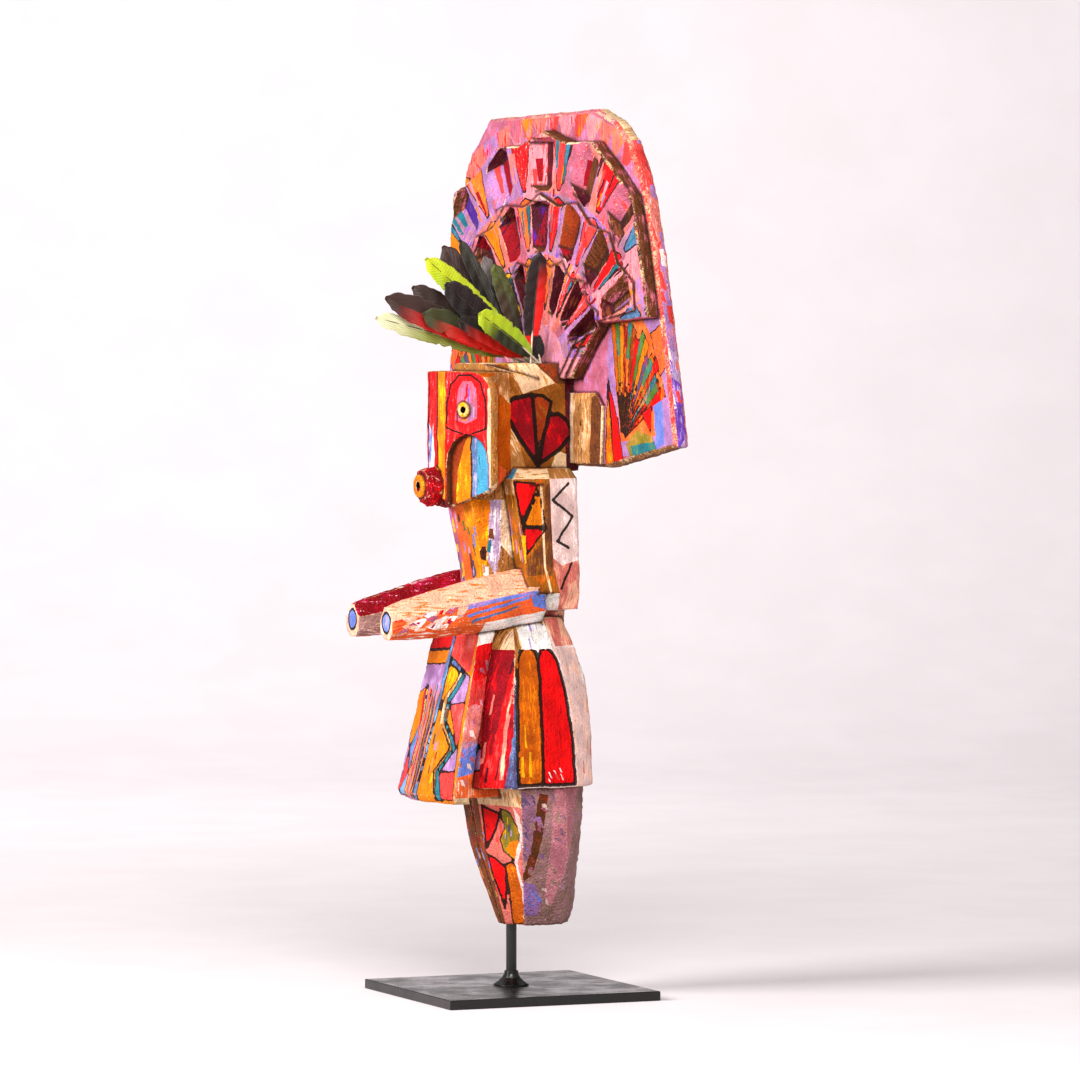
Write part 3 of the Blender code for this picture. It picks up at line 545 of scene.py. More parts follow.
# %% Apron
near_apron = [
    patch([(4, 300), (56, 300), (56, 256), (43, 256), (6, 270)], "coral salmon red"),
    patch([(6, 269), (44, 255), (44, 250), (6, 263)], "steel slate tan", ink=0.5),
    patch([(7, 262), (31, 253), (16, 232), (7, 214)], "orange yellow amber", ink=0.5),
    patch([(44, 255), (57, 251), (56, 226), (27, 222), (22, 227)], "lilac lavender violet", ink=0.5),
    patch([(25, 222), (57, 226), (60, 186), (55, 182)], "coral salmon red", ink=0.5),
    patch([(56, 180), (61, 182), (64, 158), (38, 158)], "lilac lavender mauve", ink=0.5),
    patch([(37, 156), (64, 158), (72, 130), (46, 130)], "coral red salmon", ink=0.5),
    patch([(37, 254), (46, 250), (24, 226), (27, 206), (57, 180), (36, 157), (50, 128), (42, 128),
           (29, 157), (48, 180), (19, 206), (16, 228)], "teal steel turquoise", ink=0.55),
    patch([(33, 255), (38, 253), (18, 228), (20, 207), (49, 180), (30, 157), (42, 128), (38, 128),
           (25, 157), (43, 180), (14, 206), (12, 228)], "tan cream black", ink=0.4),
    patch([(-1, 300), (4, 300), (7, 230), (6, 170), (6, 126), (1, 126), (2, 200)], "steel sky lavender",
        ink=0.3),
    patch([(55.5, 300), (60, 300), (84, 126), (72, 126), (66, 182)], "tan cream umber"),
    *dashes(52, 16, (8, 26), (140, 215), 14, 2.6, "lilac tan yellow peach lavender umber", -0.1),
]
STRIPE_PAINTS = "red yellow teal orange scarlet lilac tan coral amber slate orange".split()


def apron_stripes():
    """Close stripes that fan a little wider towards the apron's hem."""
    top_from, top_to, hem_from, hem_to = -52.0, -5.0, -40.0, -2.0
    count = len(STRIPE_PAINTS)
    marks = []
    for i, tint in enumerate(STRIPE_PAINTS):
        a, b = i / count, (i + 1) / count
        rise = 232 + 9 * math.sin(2.3 * i)
        marks.append(patch([
            (top_from + (top_to - top_from) * a, rise), (top_from + (top_to - top_from) * b, rise - 2),
            (hem_from + (hem_to - hem_from) * b, 128), (hem_from + (hem_to - hem_from) * a, 128)],
            tint, STRIPE_PAINTS[(i + 4) % count], ink=0.28 if i % 3 == 1 else 0.0))
    return marks


far_apron = [
    patch([(-64, 300), (3, 300), (3, 277), (-64, 272)], "red scarlet coral", ink=0.9),
    patch([(-66, 271), (3, 276), (3, 262), (-68, 257)], "orange amber yellow", ink=0.9),
    patch([(-70, 256), (3, 261), (3, 236), (-70, 226)], "lilac lavender violet"),
    patch([(-70, 226), (-50, 236), (-46, 190), (-66, 176)], "orange amber tangerine", ink=0.4),
    patch([(-44, 206), (-38, 180), (-48, 150), (-62, 174)], "steel periwinkle sky", ink=0.5),
    patch([(-64, 172), (-46, 146), (-56, 136), (-74, 130)], "coral red salmon", ink=0.4),
    patch([(-44, 152), (-36, 128), (-70, 128)], "sky steel periwinkle", ink=0.5),
    *apron_stripes(),
]
zone("apron near", lambda g: g.ahead > 0.7 and g.front > 54 and g.side < 78 and 128 < g.up < 304
     and g.left >= 0,
     "orange amber yellow", 0.25, mirror=False, marks=near_apron)
zone("apron far", lambda g: g.ahead > 0.7 and g.front > 54 and g.side < 78 and 128 < g.up < 304
     and g.left < 0,
     "lilac orange red", 0.25, mirror=False, marks=far_apron)
zone("apron hem", lambda g: g.front > 45 and 110 < g.up < 150 and g.above < -0.2, "cream tan umber", 0.6,
     0.0)
zone("apron top", lambda g: g.front > 36 and g.above > 0.4 and 270 < g.up < 315 and g.side < 66,
     "white cream tan", 0.9, 0.0)
zone("apron side", lambda g: g.outward > 0.85 and g.front > 44 and g.side > 50 and 120 < g.up < 304,
     "coral red salmon", 1.0, marks=[
         patch([(30, 300), (110, 300), (110, 286), (70, 280), (30, 288)], "white palepink cream"),
         patch([(30, 288), (70, 280), (110, 284), (110, 256), (62, 248), (30, 258)], "red scarlet coral"),
         patch([(30, 214), (66, 224), (110, 210), (110, 184), (30, 180)], "salmon pink coral"),
         patch([(30, 182), (60, 188), (110, 186), (110, 168), (60, 170), (30, 160)], "mauve pink lilac"),
         patch([(62, 186), (110, 172), (110, 146), (76, 152), (56, 166)], "periwinkle lilac pink"),
         patch([(30, 162), (56, 160), (110, 148), (110, 110), (30, 110)], "tangerine peach white"),
         *dashes(51, 30, (44, 90), (140, 262), 13, 3.6, "salmon coral pink rose palepink", 0.2)])

print("the apron has", len(near_apron) + len(far_apron), "patches")

# %% [markdown]
# The skirt's side panel is pale, with an arch in two halves, gold and red, drawn round in
# broad black. The front corner is crimson with upright strokes, and the back is plain.

# %% Skirt
arch_gold = [(30, 144), (3, 144), (3, 268), (6, 276), (14, 281), (21, 277), (25, 268), (28, 240)]
arch_red = [(3, 144), (-31, 144), (-29, 190), (-24, 232), (-17, 266), (-13, 274), (-7, 279), (0, 276),
    (3, 268)]
skirt_marks = [
    band(30, 44, 138, 284, "slate steel lavender"),
    patch([(44, 284), (44, 250), (26, 250), (20, 300), (44, 300)], "tan umber cream"),
    patch(arch_gold, "amber orange rust", ink=1.8),
    patch(arch_red, "scarlet red crimson", ink=1.6),
    *dashes(61, 7, (-20, 0), (146, 160), 7, 1.6, "palepink white coral", 0.4),
    *dashes(62, 9, (8, 27), (150, 262), 26, 1.8, "orange yellow rust amber"),
]
zone("skirt side", lambda g: g.outward > 0.85 and 138 < g.up < 285 and g.side > 60, "palepink white peach",
     0.7, marks=skirt_marks)
zone("skirt shoulder", lambda g: g.outward > 0.4 and g.above > 0.25 and 268 < g.up < 325 and g.front < 66,
     "cream taupe umber", 1.3, marks=[
         patch([(-14, 272), (-12, 300), (8, 306), (20, 296), (18, 276), (4, 270)],
             "white lavender periwinkle"),
         band(20, 60, 262, 320, "tan umber rust"), band(-60, -14, 262, 320, "palepink peach tan")])
zone("skirt front side", lambda g: g.ahead > 0.45 and g.outward > 0.4 and 130 < g.up < 300 and g.side > 40,
     "crimson red maroon", 0.7, marks=[
         patch([(60, 128), (84, 128), (80, 200), (84, 262), (76, 262), (72, 200), (64, 150)],
               "red coral crimson"),
         patch([(79, 150), (82, 150), (80, 200), (83, 266), (80, 266), (77, 200)], "salmon peach cream"),
         patch([(84, 128), (96, 128), (96, 200), (92, 290), (86, 290), (85, 200)], "slate steel lavender"),
         *dashes(63, 16, (58, 84), (136, 262), 24, 1.5, "crimson red maroon salmon", 0.05)])
zone("skirt front", lambda g: g.ahead > 0.6 and 120 < g.up < 310 and g.front < 66, "crimson red maroon", 0.6)
zone("skirt back side", lambda g: g.ahead < -0.3 and g.outward > 0.35 and 130 < g.up < 310,
     "palepink peach white", 0.6, marks=dashes(64, 22, (-90, -10), (140, 300), 26, 2.2,
         "white peach salmon palepink"))
zone("skirt back", lambda g: g.ahead < -0.6 and 130 < g.up < 470 and g.side < 90, "peach palepink salmon",
     0.6,
     mirror=False, marks=washes(65, 7, (-90, 85), (140, 300), "palepink peach cream peach salmon"))
zone("skirt hem", lambda g: g.above < -0.5 and 120 < g.up < 160, "cream taupe umber", 0.6, 0.0)
print(len(zones), "zones after the skirt")

# %% [markdown]
# Two short legs taper to the feet. Each has a leaf pattern at its front corner, drawn in
# black on salmon, and a rough mauve side.

# %% Legs
leg_marks = [
    band(10, 96, 122, 146, "cream tan taupe"),
    patch([(24, 121), (47, 113), (36, 96), (21, 77)], "scarlet crimson coral", ink=1.2),
    patch([(48, 119), (60, 116), (67, 98), (62, 80), (51, 68), (41, 76), (40, 88), (49, 100)],
        "olive orange leaf", ink=0.6),
    patch([(45, 78), (52, 68), (61, 78), (64, 88), (52, 86)], "orange amber yellow"),
    patch([(18, 72), (27, 68), (36, 58), (27, 36), (16, 16)], "scarlet red crimson", ink=1.2),
    patch([(37, 62), (48, 66), (51, 48), (48, 28), (40, 4), (19, 0), (30, 34)], "amber orange rust",
        ink=0.7),
    patch([(66, 122), (72, 112), (69, 86), (54, 64), (50, 36), (38, 4), (35, 4), (47, 36), (50, 64),
        (66, 90)],
          "palepink mauve white"),
    *dashes(71, 8, (44, 56), (84, 106), 10, 1.4, "lavender slate yellow rust", 0.3),
]
leg_side_marks = [
    patch([(24, 138), (8, 132), (2, 96), (8, 66), (20, 70)], "mauve slate umber"),
    patch([(4, 136), (-6, 134), (-4, 90), (2, 52), (12, 44), (6, 90)], "umber rust mauve"),
    patch([(-12, 140), (-44, 140), (-36, 60), (-26, 20), (-16, 30)], "pink taupe palepink"),
    patch([(-4, 42), (12, 46), (10, 12), (-12, 10), (-14, 26)], "lilac periwinkle mauve"),
    *dashes(72, 30, (-26, 20), (16, 130), 9, 4.4, "mauve taupe lilac rose mauve palepink", 0.3),
]
zone("foot end", lambda g: g.up < 16 and g.above < -0.4, "tan umber cream")
zone("leg front", lambda g: g.ahead > 0.55 and g.up < 142 and g.outward > 0.15, "salmon coral tan", 0.5,
     marks=leg_marks)
zone("leg inner front", lambda g: g.ahead > 0.55 and g.up < 142, "umber rust tan", 0.5, marks=dashes(
    73, 24, (0, 24), (20, 136), 14, 2.4, "crimson taupe periwinkle tan rust"))
zone("leg side", lambda g: g.outward > 0.6 and g.up < 142, "taupe mauve palepink", 1.7, 50.0,
     marks=leg_side_marks)
zone("leg back", lambda g: g.ahead < -0.3 and g.up < 142, "palepink white mauve", 0.8, marks=dashes(
    74, 26, (-60, 60), (20, 130), 22, 3.0, "pink white mauve palepink"))
zone("leg rest", lambda g: g.up < 142, "umber maroon rust", 0.5)
print(len(zones), "zones after the legs")

# %% [markdown]
# The headdress board is one slab behind the head. Three rows of feathers are cut into it as
# a fan: tapered wedges stand proud between gouged troughs. The wedges repeat a few strong
# paints in a set order; the troughs get painted shade, dark on one wall, and stay pale on the floor.

# %% Fan geometry
FAN_CENTRE = 558.0
FAN_STRETCH = 1.5
FEATHER_PITCH = math.radians(20.5)
ROW_REACH = (231.0, 168.0, 107.0)
ROW_END = 48.0
ROW_TOOTH = 5.0
NEAR_ROWS = range(-4, 4)


def fan_point(angle, reach):
    """A point of the feather fan on the board's chart (left, up)."""
    return FAN_STRETCH * reach * math.sin(angle), FAN_CENTRE + reach * math.cos(angle)


def fan_cell(angle, half_out, half_in, outer, inner, peak=0.0):
    """A tapered wedge along a ray, its half widths as shares of the pitch."""
    out, inn = half_out * FEATHER_PITCH, half_in * FEATHER_PITCH
    return [fan_point(angle - out, outer), fan_point(angle, outer + peak), fan_point(angle + out, outer),
            fan_point(angle + inn, inner), fan_point(angle - inn, inner)]


print("the fan's rays are", round(math.degrees(FEATHER_PITCH), 1), "degrees apart")

# %% [markdown]
# The fan's paint follows its carving: a wedge of strong colour on each ray with a paler strip
# at each side and a few short dabs, and painted shade, dark paint down one side of each trough.

# %% Fan paint
WEDGE_PAINTS = ("coral red salmon", "orange amber yellow", "steel teal lavender",
                "red coral palepink", "yellow orange olive", "red scarlet crimson",
                "tangerine orange cream", "periwinkle steel lilac")
SIDE_PAINTS = ("rose coral palepink", "lilac rose palepink", "salmon pink red",
               "mauve violet pink", "pink coral cream")


DAB_PAINTS = "salmon coral rose crimson lilac orange pink maroon mauve teal".split()


def fan_dabs(row, k, angle, low, high):
    """Short brush marks that follow the ray of one relief cell."""
    draw = random.Random(900 + 10 * row + k)
    dabs = []
    for _ in range(7):
        middle = angle + draw.uniform(-0.45, 0.45) * FEATHER_PITCH
        reach = draw.uniform(low, high - 8)
        size = draw.uniform(0.015, 0.04)
        dabs.append(patch(fan_cell(middle, size, size * 0.5, reach + draw.uniform(12, 34), reach),
                          draw.choice(DAB_PAINTS)))
    return dabs


def relief_marks():
    """The painted wedges of all three rows with a paler strip at each side."""
    marks = []
    for row, (reach, inner) in enumerate(zip(ROW_REACH, ROW_REACH[1:] + (ROW_END,))):
        for k in NEAR_ROWS:
            angle = (k + 0.5) * FEATHER_PITCH
            pick = (3 * row + 5 * k) % len(WEDGE_PAINTS)
            low, high = inner + ROW_TOOTH + 3, reach - 4
            shade = SIDE_PAINTS[(row + 2 * k) % len(SIDE_PAINTS)]
            other = SIDE_PAINTS[(row + 3 * k + 2) % len(SIDE_PAINTS)]
            middle = angle + 0.25 * FEATHER_PITCH * (1 if (row + k) % 2 else -1)
            marks.append(patch(fan_cell(angle, 0.5, 0.5, high + 8, low - 14), shade))
            marks.append(patch(fan_cell(middle, 0.25, 0.25, high + 8, low - 14), other))
            slant = angle + 0.04 * FEATHER_PITCH * (1 if k % 2 else -1)
            marks.append(patch(fan_cell(slant, 0.2, 0.04, high, low, 5), WEDGE_PAINTS[pick], ink=0.75))
            marks += fan_dabs(row, k, angle, low, high)
            if (row + k) % 3 == 0:
                strip = slant + 0.1 * FEATHER_PITCH
                marks.append(patch(fan_cell(strip, 0.05, 0.02, high - 3, low + 8), "teal steel black",
                    ink=0.4))
    return marks


# Painted shade: the dark paints laid down the shaded side of each trough's floor.
TROUGH_SHADE_PAINTS = ("purple maroon violet", "purple slate maroon", "crimson maroon red",
                 "maroon crimson umber", "umber maroon bark", "bark umber slate",
                 "umber bark maroon")


def trough_marks():
    """Painted shade: dark paint down the shaded side of each trough's floor, over a paler floor."""
    marks = []
    for k, shade in zip(range(-3, 4), TROUGH_SHADE_PAINTS):
        marks.append(patch(fan_cell(k * FEATHER_PITCH, 0.5, 0.5, 240, 20), SIDE_PAINTS[k % 5]))
        marks.append(patch(fan_cell((k - 0.2) * FEATHER_PITCH, 0.25, 0.3, 240, 20), shade))
    return marks


def border_marks():
    """Broken triangles round the board's rim, outside the outermost row."""
    draw = random.Random(81)
    tints = "coral salmon rose red lilac salmon orange pink".split()
    marks = []
    for i in range(-17, 18):
        angle = i * FEATHER_PITCH / 4
        size = draw.uniform(0.12, 0.2)
        base = ROW_REACH[0] + draw.uniform(-4, 2)
        marks.append(patch(fan_cell(angle, size, size * 0.3, base + 26, base), draw.choice(tints),
            draw.choice(tints)))
    return marks


def shard_marks():
    """A zigzag of orange and red shards down the outer edge of the board."""
    marks = []
    for i in range(9):
        up = 752 - 22 * i
        edge = 244 + 2.4 * i
        tint = "orange red coral amber".split()[i % 4]
        marks.append(patch([(edge, up), (edge - 30, up - 4), (edge - 6, up - 24)], tint, "coral lilac",
            ink=0.5))
        marks.append(patch([(edge - 30, up - 6), (edge - 8, up - 26), (edge - 34, up - 24)],
                           "lavender periwinkle pink"))
    return marks


RAY_BARE = 9.0  # the rays start this far from their common point


def ray_marks():
    """A quarter fan of narrow rays on the board's lower wing, from one point near its foot."""
    start = (168.0, 484.0)
    tints = ("amber olive orange crimson orange rust red leaf "
             "orange slate amber red teal rust scarlet").split()
    marks = []
    count = len(tints)
    for i, tint in enumerate(tints):
        a0 = math.radians(103 - 78 * i / count)
        a1 = math.radians(103 - 78 * (i + 1) / count)
        reach = 122 - 16 * i / count + 7 * math.sin(1.9 * i)
        marks.append(patch([(start[0] + RAY_BARE * math.cos(a0), start[1] + RAY_BARE * math.sin(a0)),
                            (start[0] + reach * math.cos(a0), start[1] + reach * math.sin(a0)),
                            (start[0] + reach * math.cos(a1), start[1] + reach * math.sin(a1) - 3),
                            (start[0] + RAY_BARE * math.cos(a1), start[1] + RAY_BARE * math.sin(a1))],
                           tint, tints[(i + 5) % count], "amber", ink=0.3))
        if i % 3 == 1:
            far, near = reach * 0.95, reach * 0.66
            marks.append(patch([(start[0] + far * math.cos(a0), start[1] + far * math.sin(a0)),
                                (start[0] + far * math.cos(a1), start[1] + far * math.sin(a1)),
                                (start[0] + near * math.cos(a1), start[1] + near * math.sin(a1)),
                                (start[0] + near * math.cos(a0), start[1] + near * math.sin(a0))],
                               "leaf teal slate"))
    return marks


print("the quarter fan has", len(ray_marks()), "patches")

# %% [markdown]
# The board's lower wing has an orange field with a quarter fan of rays. Its edge runs from
# coral at the top to lilac and violet at the foot. Last, every facet takes its zone.

# %% Board
wing_marks = [
    patch([(132, 566), (150, 470), (290, 470), (276, 566), (262, 620), (150, 640)], "lilac mauve violet"),
    patch([(150, 560), (166, 484), (262, 492), (268, 540), (240, 588), (196, 616), (152, 618)],
        "tangerine tan rust"),
    patch([(236, 590), (262, 600), (274, 560), (258, 548)], "tangerine rust lilac", ink=0.5),
    *ray_marks(),
    patch([(214, 512), (240, 520), (236, 494)], "scarlet red coral", ink=0.5),
    patch([(178, 482), (206, 496), (240, 490), (250, 474), (190, 466)], "olive tan rust"),
    patch([(190, 480), (246, 486), (252, 472), (196, 464)], "teal leaf turquoise"),
    patch([(244, 520), (264, 526), (270, 484), (250, 478)], "periwinkle violet lilac"),
    patch([(128, 456), (134, 540), (150, 462)], "amber orange yellow", ink=0.9),
    patch([(150, 462), (136, 546), (160, 500), (174, 458)], "scarlet red crimson", ink=0.8),
]
def row_end(g):
    """True where a wall of the relief ends a row of feathers instead of a trough."""
    left, up = g.side / FAN_STRETCH, g.up - FAN_CENTRE
    return math.atan2(left, up) > math.radians(63.5) or (math.hypot(left, up) > 130 and g.side > 165)


zone("board top edge", lambda g: g.above > 0.85 and g.front < -45 and g.up > 740, "cream tan palepink", 0.8,
     0.0)
zone("board edge", lambda g: g.front < -46 and g.outward > 0.25 and g.side > 105 and g.up > 450,
     "coral salmon pink", 0.9, marks=[
         patch([(-40, 640), (-70, 668), (-70, 540), (-40, 560)], "lilac salmon palepink"),
         patch([(-40, 584), (-55, 572), (-70, 590), (-70, 430), (-40, 430)], "lavender violet palepink"),
         patch([(-40, 556), (-60, 540), (-64, 500), (-50, 478), (-40, 486)], "violet lavender purple"),
         patch([(-40, 740), (-70, 720), (-70, 650), (-56, 680), (-40, 664)], "salmon palepink coral"),
         *dashes(85, 26, (-62, -44), (470, 790), 22, 4.0, "salmon lilac palepink pink coral", 0.1)])
zone("board foot edge", lambda g: g.front < -44 and g.above < -0.5 and g.up < 500, "tan amber lilac", 0.6,
     0.0)
zone("board back", lambda g: g.ahead < -0.55 and g.up > 455, "peach salmon cream", 0.7, 80.0,
     mirror=False, marks=washes(82, 15, (-285, 275), (470, 800), "peach palepink peach salmon cream"))
# Painted shade: the umber patch on the pad's outer part stands for the shading along its rolled edge.
zone("board pad", lambda g: g.ahead > 0.9 and -43.5 < g.front < -40.5 and g.up < 545, "tan cream taupe", 0.6,
     marks=[patch([(98, 455), (132, 455), (132, 535), (104, 526)], "umber bark tan"),
            patch([(44, 455), (60, 455), (58, 536), (44, 536)], "cream palepink tan"),
            *dashes(83, 9, (62, 84), (470, 520), 9, 1.3, "black bark umber")])
zone("board front", lambda g: g.ahead > 0.9 and -47 < g.front < -45.4, "rose lilac coral", 0.9,
     marks=[*border_marks(), *shard_marks(), *wing_marks])
zone("trough floor", lambda g: g.ahead > 0.9 and g.front < -40 and g.up > 540, "rose pink palepink", 0.6,
     mirror=False, marks=trough_marks())
zone("relief top", lambda g: g.ahead > 0.75 and g.front > -42 and g.front < -20 and g.up > 500,
     "pink lilac salmon", 0.8, marks=relief_marks(), mirror=False)
zone("row end wall", lambda g: -48 < g.front < -26 and g.up > 520 and abs(g.leftward) > 0.2 and row_end(g),
     "umber rose orange", 1.6, marks=[
         *dashes(84, 60, (100, 260), (540, 800), 11, 7.0, "umber coral orange maroon cream bark steel red")])
# Painted shade: walls facing the figure's left are painted dark, as the shaded side of each trough; walls
# facing the other way keep pale paint.
zone("trough painted shade wall", lambda g: g.leftward > 0.2 and -48 < g.front < -26 and g.up > 520 and g.area > 40,
     "maroon umber crimson", 0.4, mirror=False, marks=[
         patch(fan_cell(k * FEATHER_PITCH, 0.5, 0.5, reach, inner), shade)
         for k, reach, inner, shade in (
             (-3, 240, 20, "purple maroon violet"), (-2, 240, 168, "crimson maroon red"),
             (-2, 168, 20, "purple maroon violet"), (-1, 240, 168, "maroon crimson purple"),
             (-1, 168, 107, "crimson maroon magenta"), (0, 240, 168, "maroon umber crimson"),
             (0, 168, 107, "maroon purple crimson"), (1, 240, 168, "umber bark tan"),
             (1, 168, 107, "rust umber maroon"), (2, 240, 107, "umber bark rust"),
             (3, 240, 107, "umber maroon bark"))])
zone("trough pale wall", lambda g: g.leftward < -0.2 and -48 < g.front < -26 and g.up > 520 and g.area > 40,
     "rose salmon palepink", 0.6, mirror=False)
zone("relief edge", lambda g: g.front < -24 and g.up > 500, "rose coral palepink", 1.4)
zone("board rest", lambda g: g.front < -40 and g.up > 440, "cream tan palepink", 0.6)
zone("rest", lambda g: True, "cream tan taupe", 0.5)


for facet in facets:
    gist = Gist(facet)
    facet.zone = next(z for z in zones if z["test"](gist))
used = {}
for facet in facets:
    used[facet.zone["name"]] = used.get(facet.zone["name"], 0) + facet.area * STEP_MM ** 2
print("zone areas in square mm:", {name: round(value) for name, value in sorted(used.items())})

# %% [markdown]
# Now each facet gets its fine mesh. Its rim is cut into short pieces that both neighbours
# share, so the skin stays closed. Patch edges become mesh edges, which keeps the paint's
# outline crisp, and the rest is filled with slightly scattered points.

# %% Shared rim points
points = [tuple(p) for p in shell]
spacings = [f.spacing() for f in facets]
rims = [[] for _ in facets]
creases = {"convex": [], "hollow": []}
CREASE_COS = {"convex": math.cos(math.radians(35.0)), "hollow": math.cos(math.radians(44.0))}
for (a, b), pair in edge_faces.items():
    if len(pair) != 2 or facet_of[pair[0]] == facet_of[pair[1]]:
        continue
    one, two = facet_of[pair[0]], facet_of[pair[1]]
    start, end = shell[a], shell[b]
    length = float(np.linalg.norm(end - start))
    count = max(1, round(length / min(spacings[one], spacings[two])))
    chain = [a]
    for i in range(1, count):
        chain.append(len(points))
        points.append(tuple(start + (end - start) * i / count))
    chain.append(b)
    for f in (one, two):
        rims[f].extend(zip(chain, chain[1:]))
    third = shell[corners[pair[1]]].mean(0)
    kind = "convex" if (third - start) @ normals[pair[0]] < 0 else "hollow"
    if normals[pair[0]] @ normals[pair[1]] < CREASE_COS[kind]:
        parts = max(1, math.ceil(length))
        creases[kind] += [tuple(start + (end - start) * i / parts) for i in range(parts + 1)]
print(len(points), "points with the rims,", len(creases["convex"]), "on sharp edges")

# %% [markdown]
# One facet is filled like a stained-glass panel: its rim and the outlines of its patches are
# the leads, loose points in jittered rows fill the rest, and a Delaunay net joins them. Each
# triangle takes the paint of the last patch that covers it.

# %% Fill one facet
RIM_GAP = 0.5  # no line point this near the rim, as a share of the mesh's gap
LOOSE_GAP = 0.66  # nor a loose point this near another
JITTER = 0.17  # how far a loose point strays from its row
ROW_HEIGHT = 0.866  # rows of equal-sided triangles
MERGE = 0.8  # line points this near become one
RIM_BITE = 1e-3  # a triangle may lie this little outside its facet
THIN = 2e-3  # a rim sliver's height as a share of its length
NO_LINE = 9.0  # the reach of a point that has no drawn line near it


def cross2(a, b):
    """The flat cross product, twice the area between two directions."""
    return a[..., 0] * b[..., 1] - a[..., 1] * b[..., 0]


def locate(flat, triangles):
    """For each chart point: which triangle holds it, its weights there, and how well it fits."""
    best = np.full(len(flat), -1e9)
    owner = np.zeros(len(flat), int)
    weights = np.zeros((len(flat), 3))
    for i, (a, b, c) in enumerate(triangles):
        det = cross2(b - a, c - a)
        if abs(det) < 1e-9:
            continue
        low = np.minimum(np.minimum(a, b), c) - 0.2
        high = np.maximum(np.maximum(a, b), c) + 0.2
        near = np.nonzero(((flat >= low) & (flat <= high)).all(1))[0]
        if not near.size:
            continue
        p = flat[near] - a
        w1 = cross2(p, c - a) / det
        w2 = cross2(b - a, p) / det
        found = np.stack([1 - w1 - w2, w1, w2], 1)
        fit = found.min(1)
        better = fit > best[near]
        chosen = near[better]
        best[chosen] = fit[better]
        owner[chosen] = i
        weights[chosen] = found[better]
    return owner, weights, best


def inside(flat, outline):
    """Which chart points lie inside a closed outline."""
    result = np.zeros(len(flat), bool)
    x, y = flat[:, 0], flat[:, 1]
    for (ax, ay), (bx, by) in zip(outline, outline[1:] + outline[:1]):
        if ay != by:
            crosses = ((ay > y) != (by > y)) & (x < (bx - ax) * (y - ay) / (by - ay) + ax)
            result ^= crosses
    return result


def line_distance(flat, line, closed):
    """The distance from each chart point to a drawn line."""
    nearest = np.full(len(flat), 99.0)
    ends = line[1:] + line[:1] if closed else line[1:]
    for a, b in zip(np.array(line), np.array(ends)):
        span = b - a
        t = np.clip((flat - a) @ span / max(span @ span, 1e-9), 0, 1)
        nearest = np.minimum(nearest, np.linalg.norm(flat - a - t[:, None] * span, axis=1))
    return nearest


def overlaps(line, low, high):
    """True where a line's box meets a facet's box."""
    xs, ys = [p[0] for p in line], [p[1] for p in line]
    return min(xs) < high[0] and max(xs) > low[0] and min(ys) < high[1] and max(ys) > low[1]


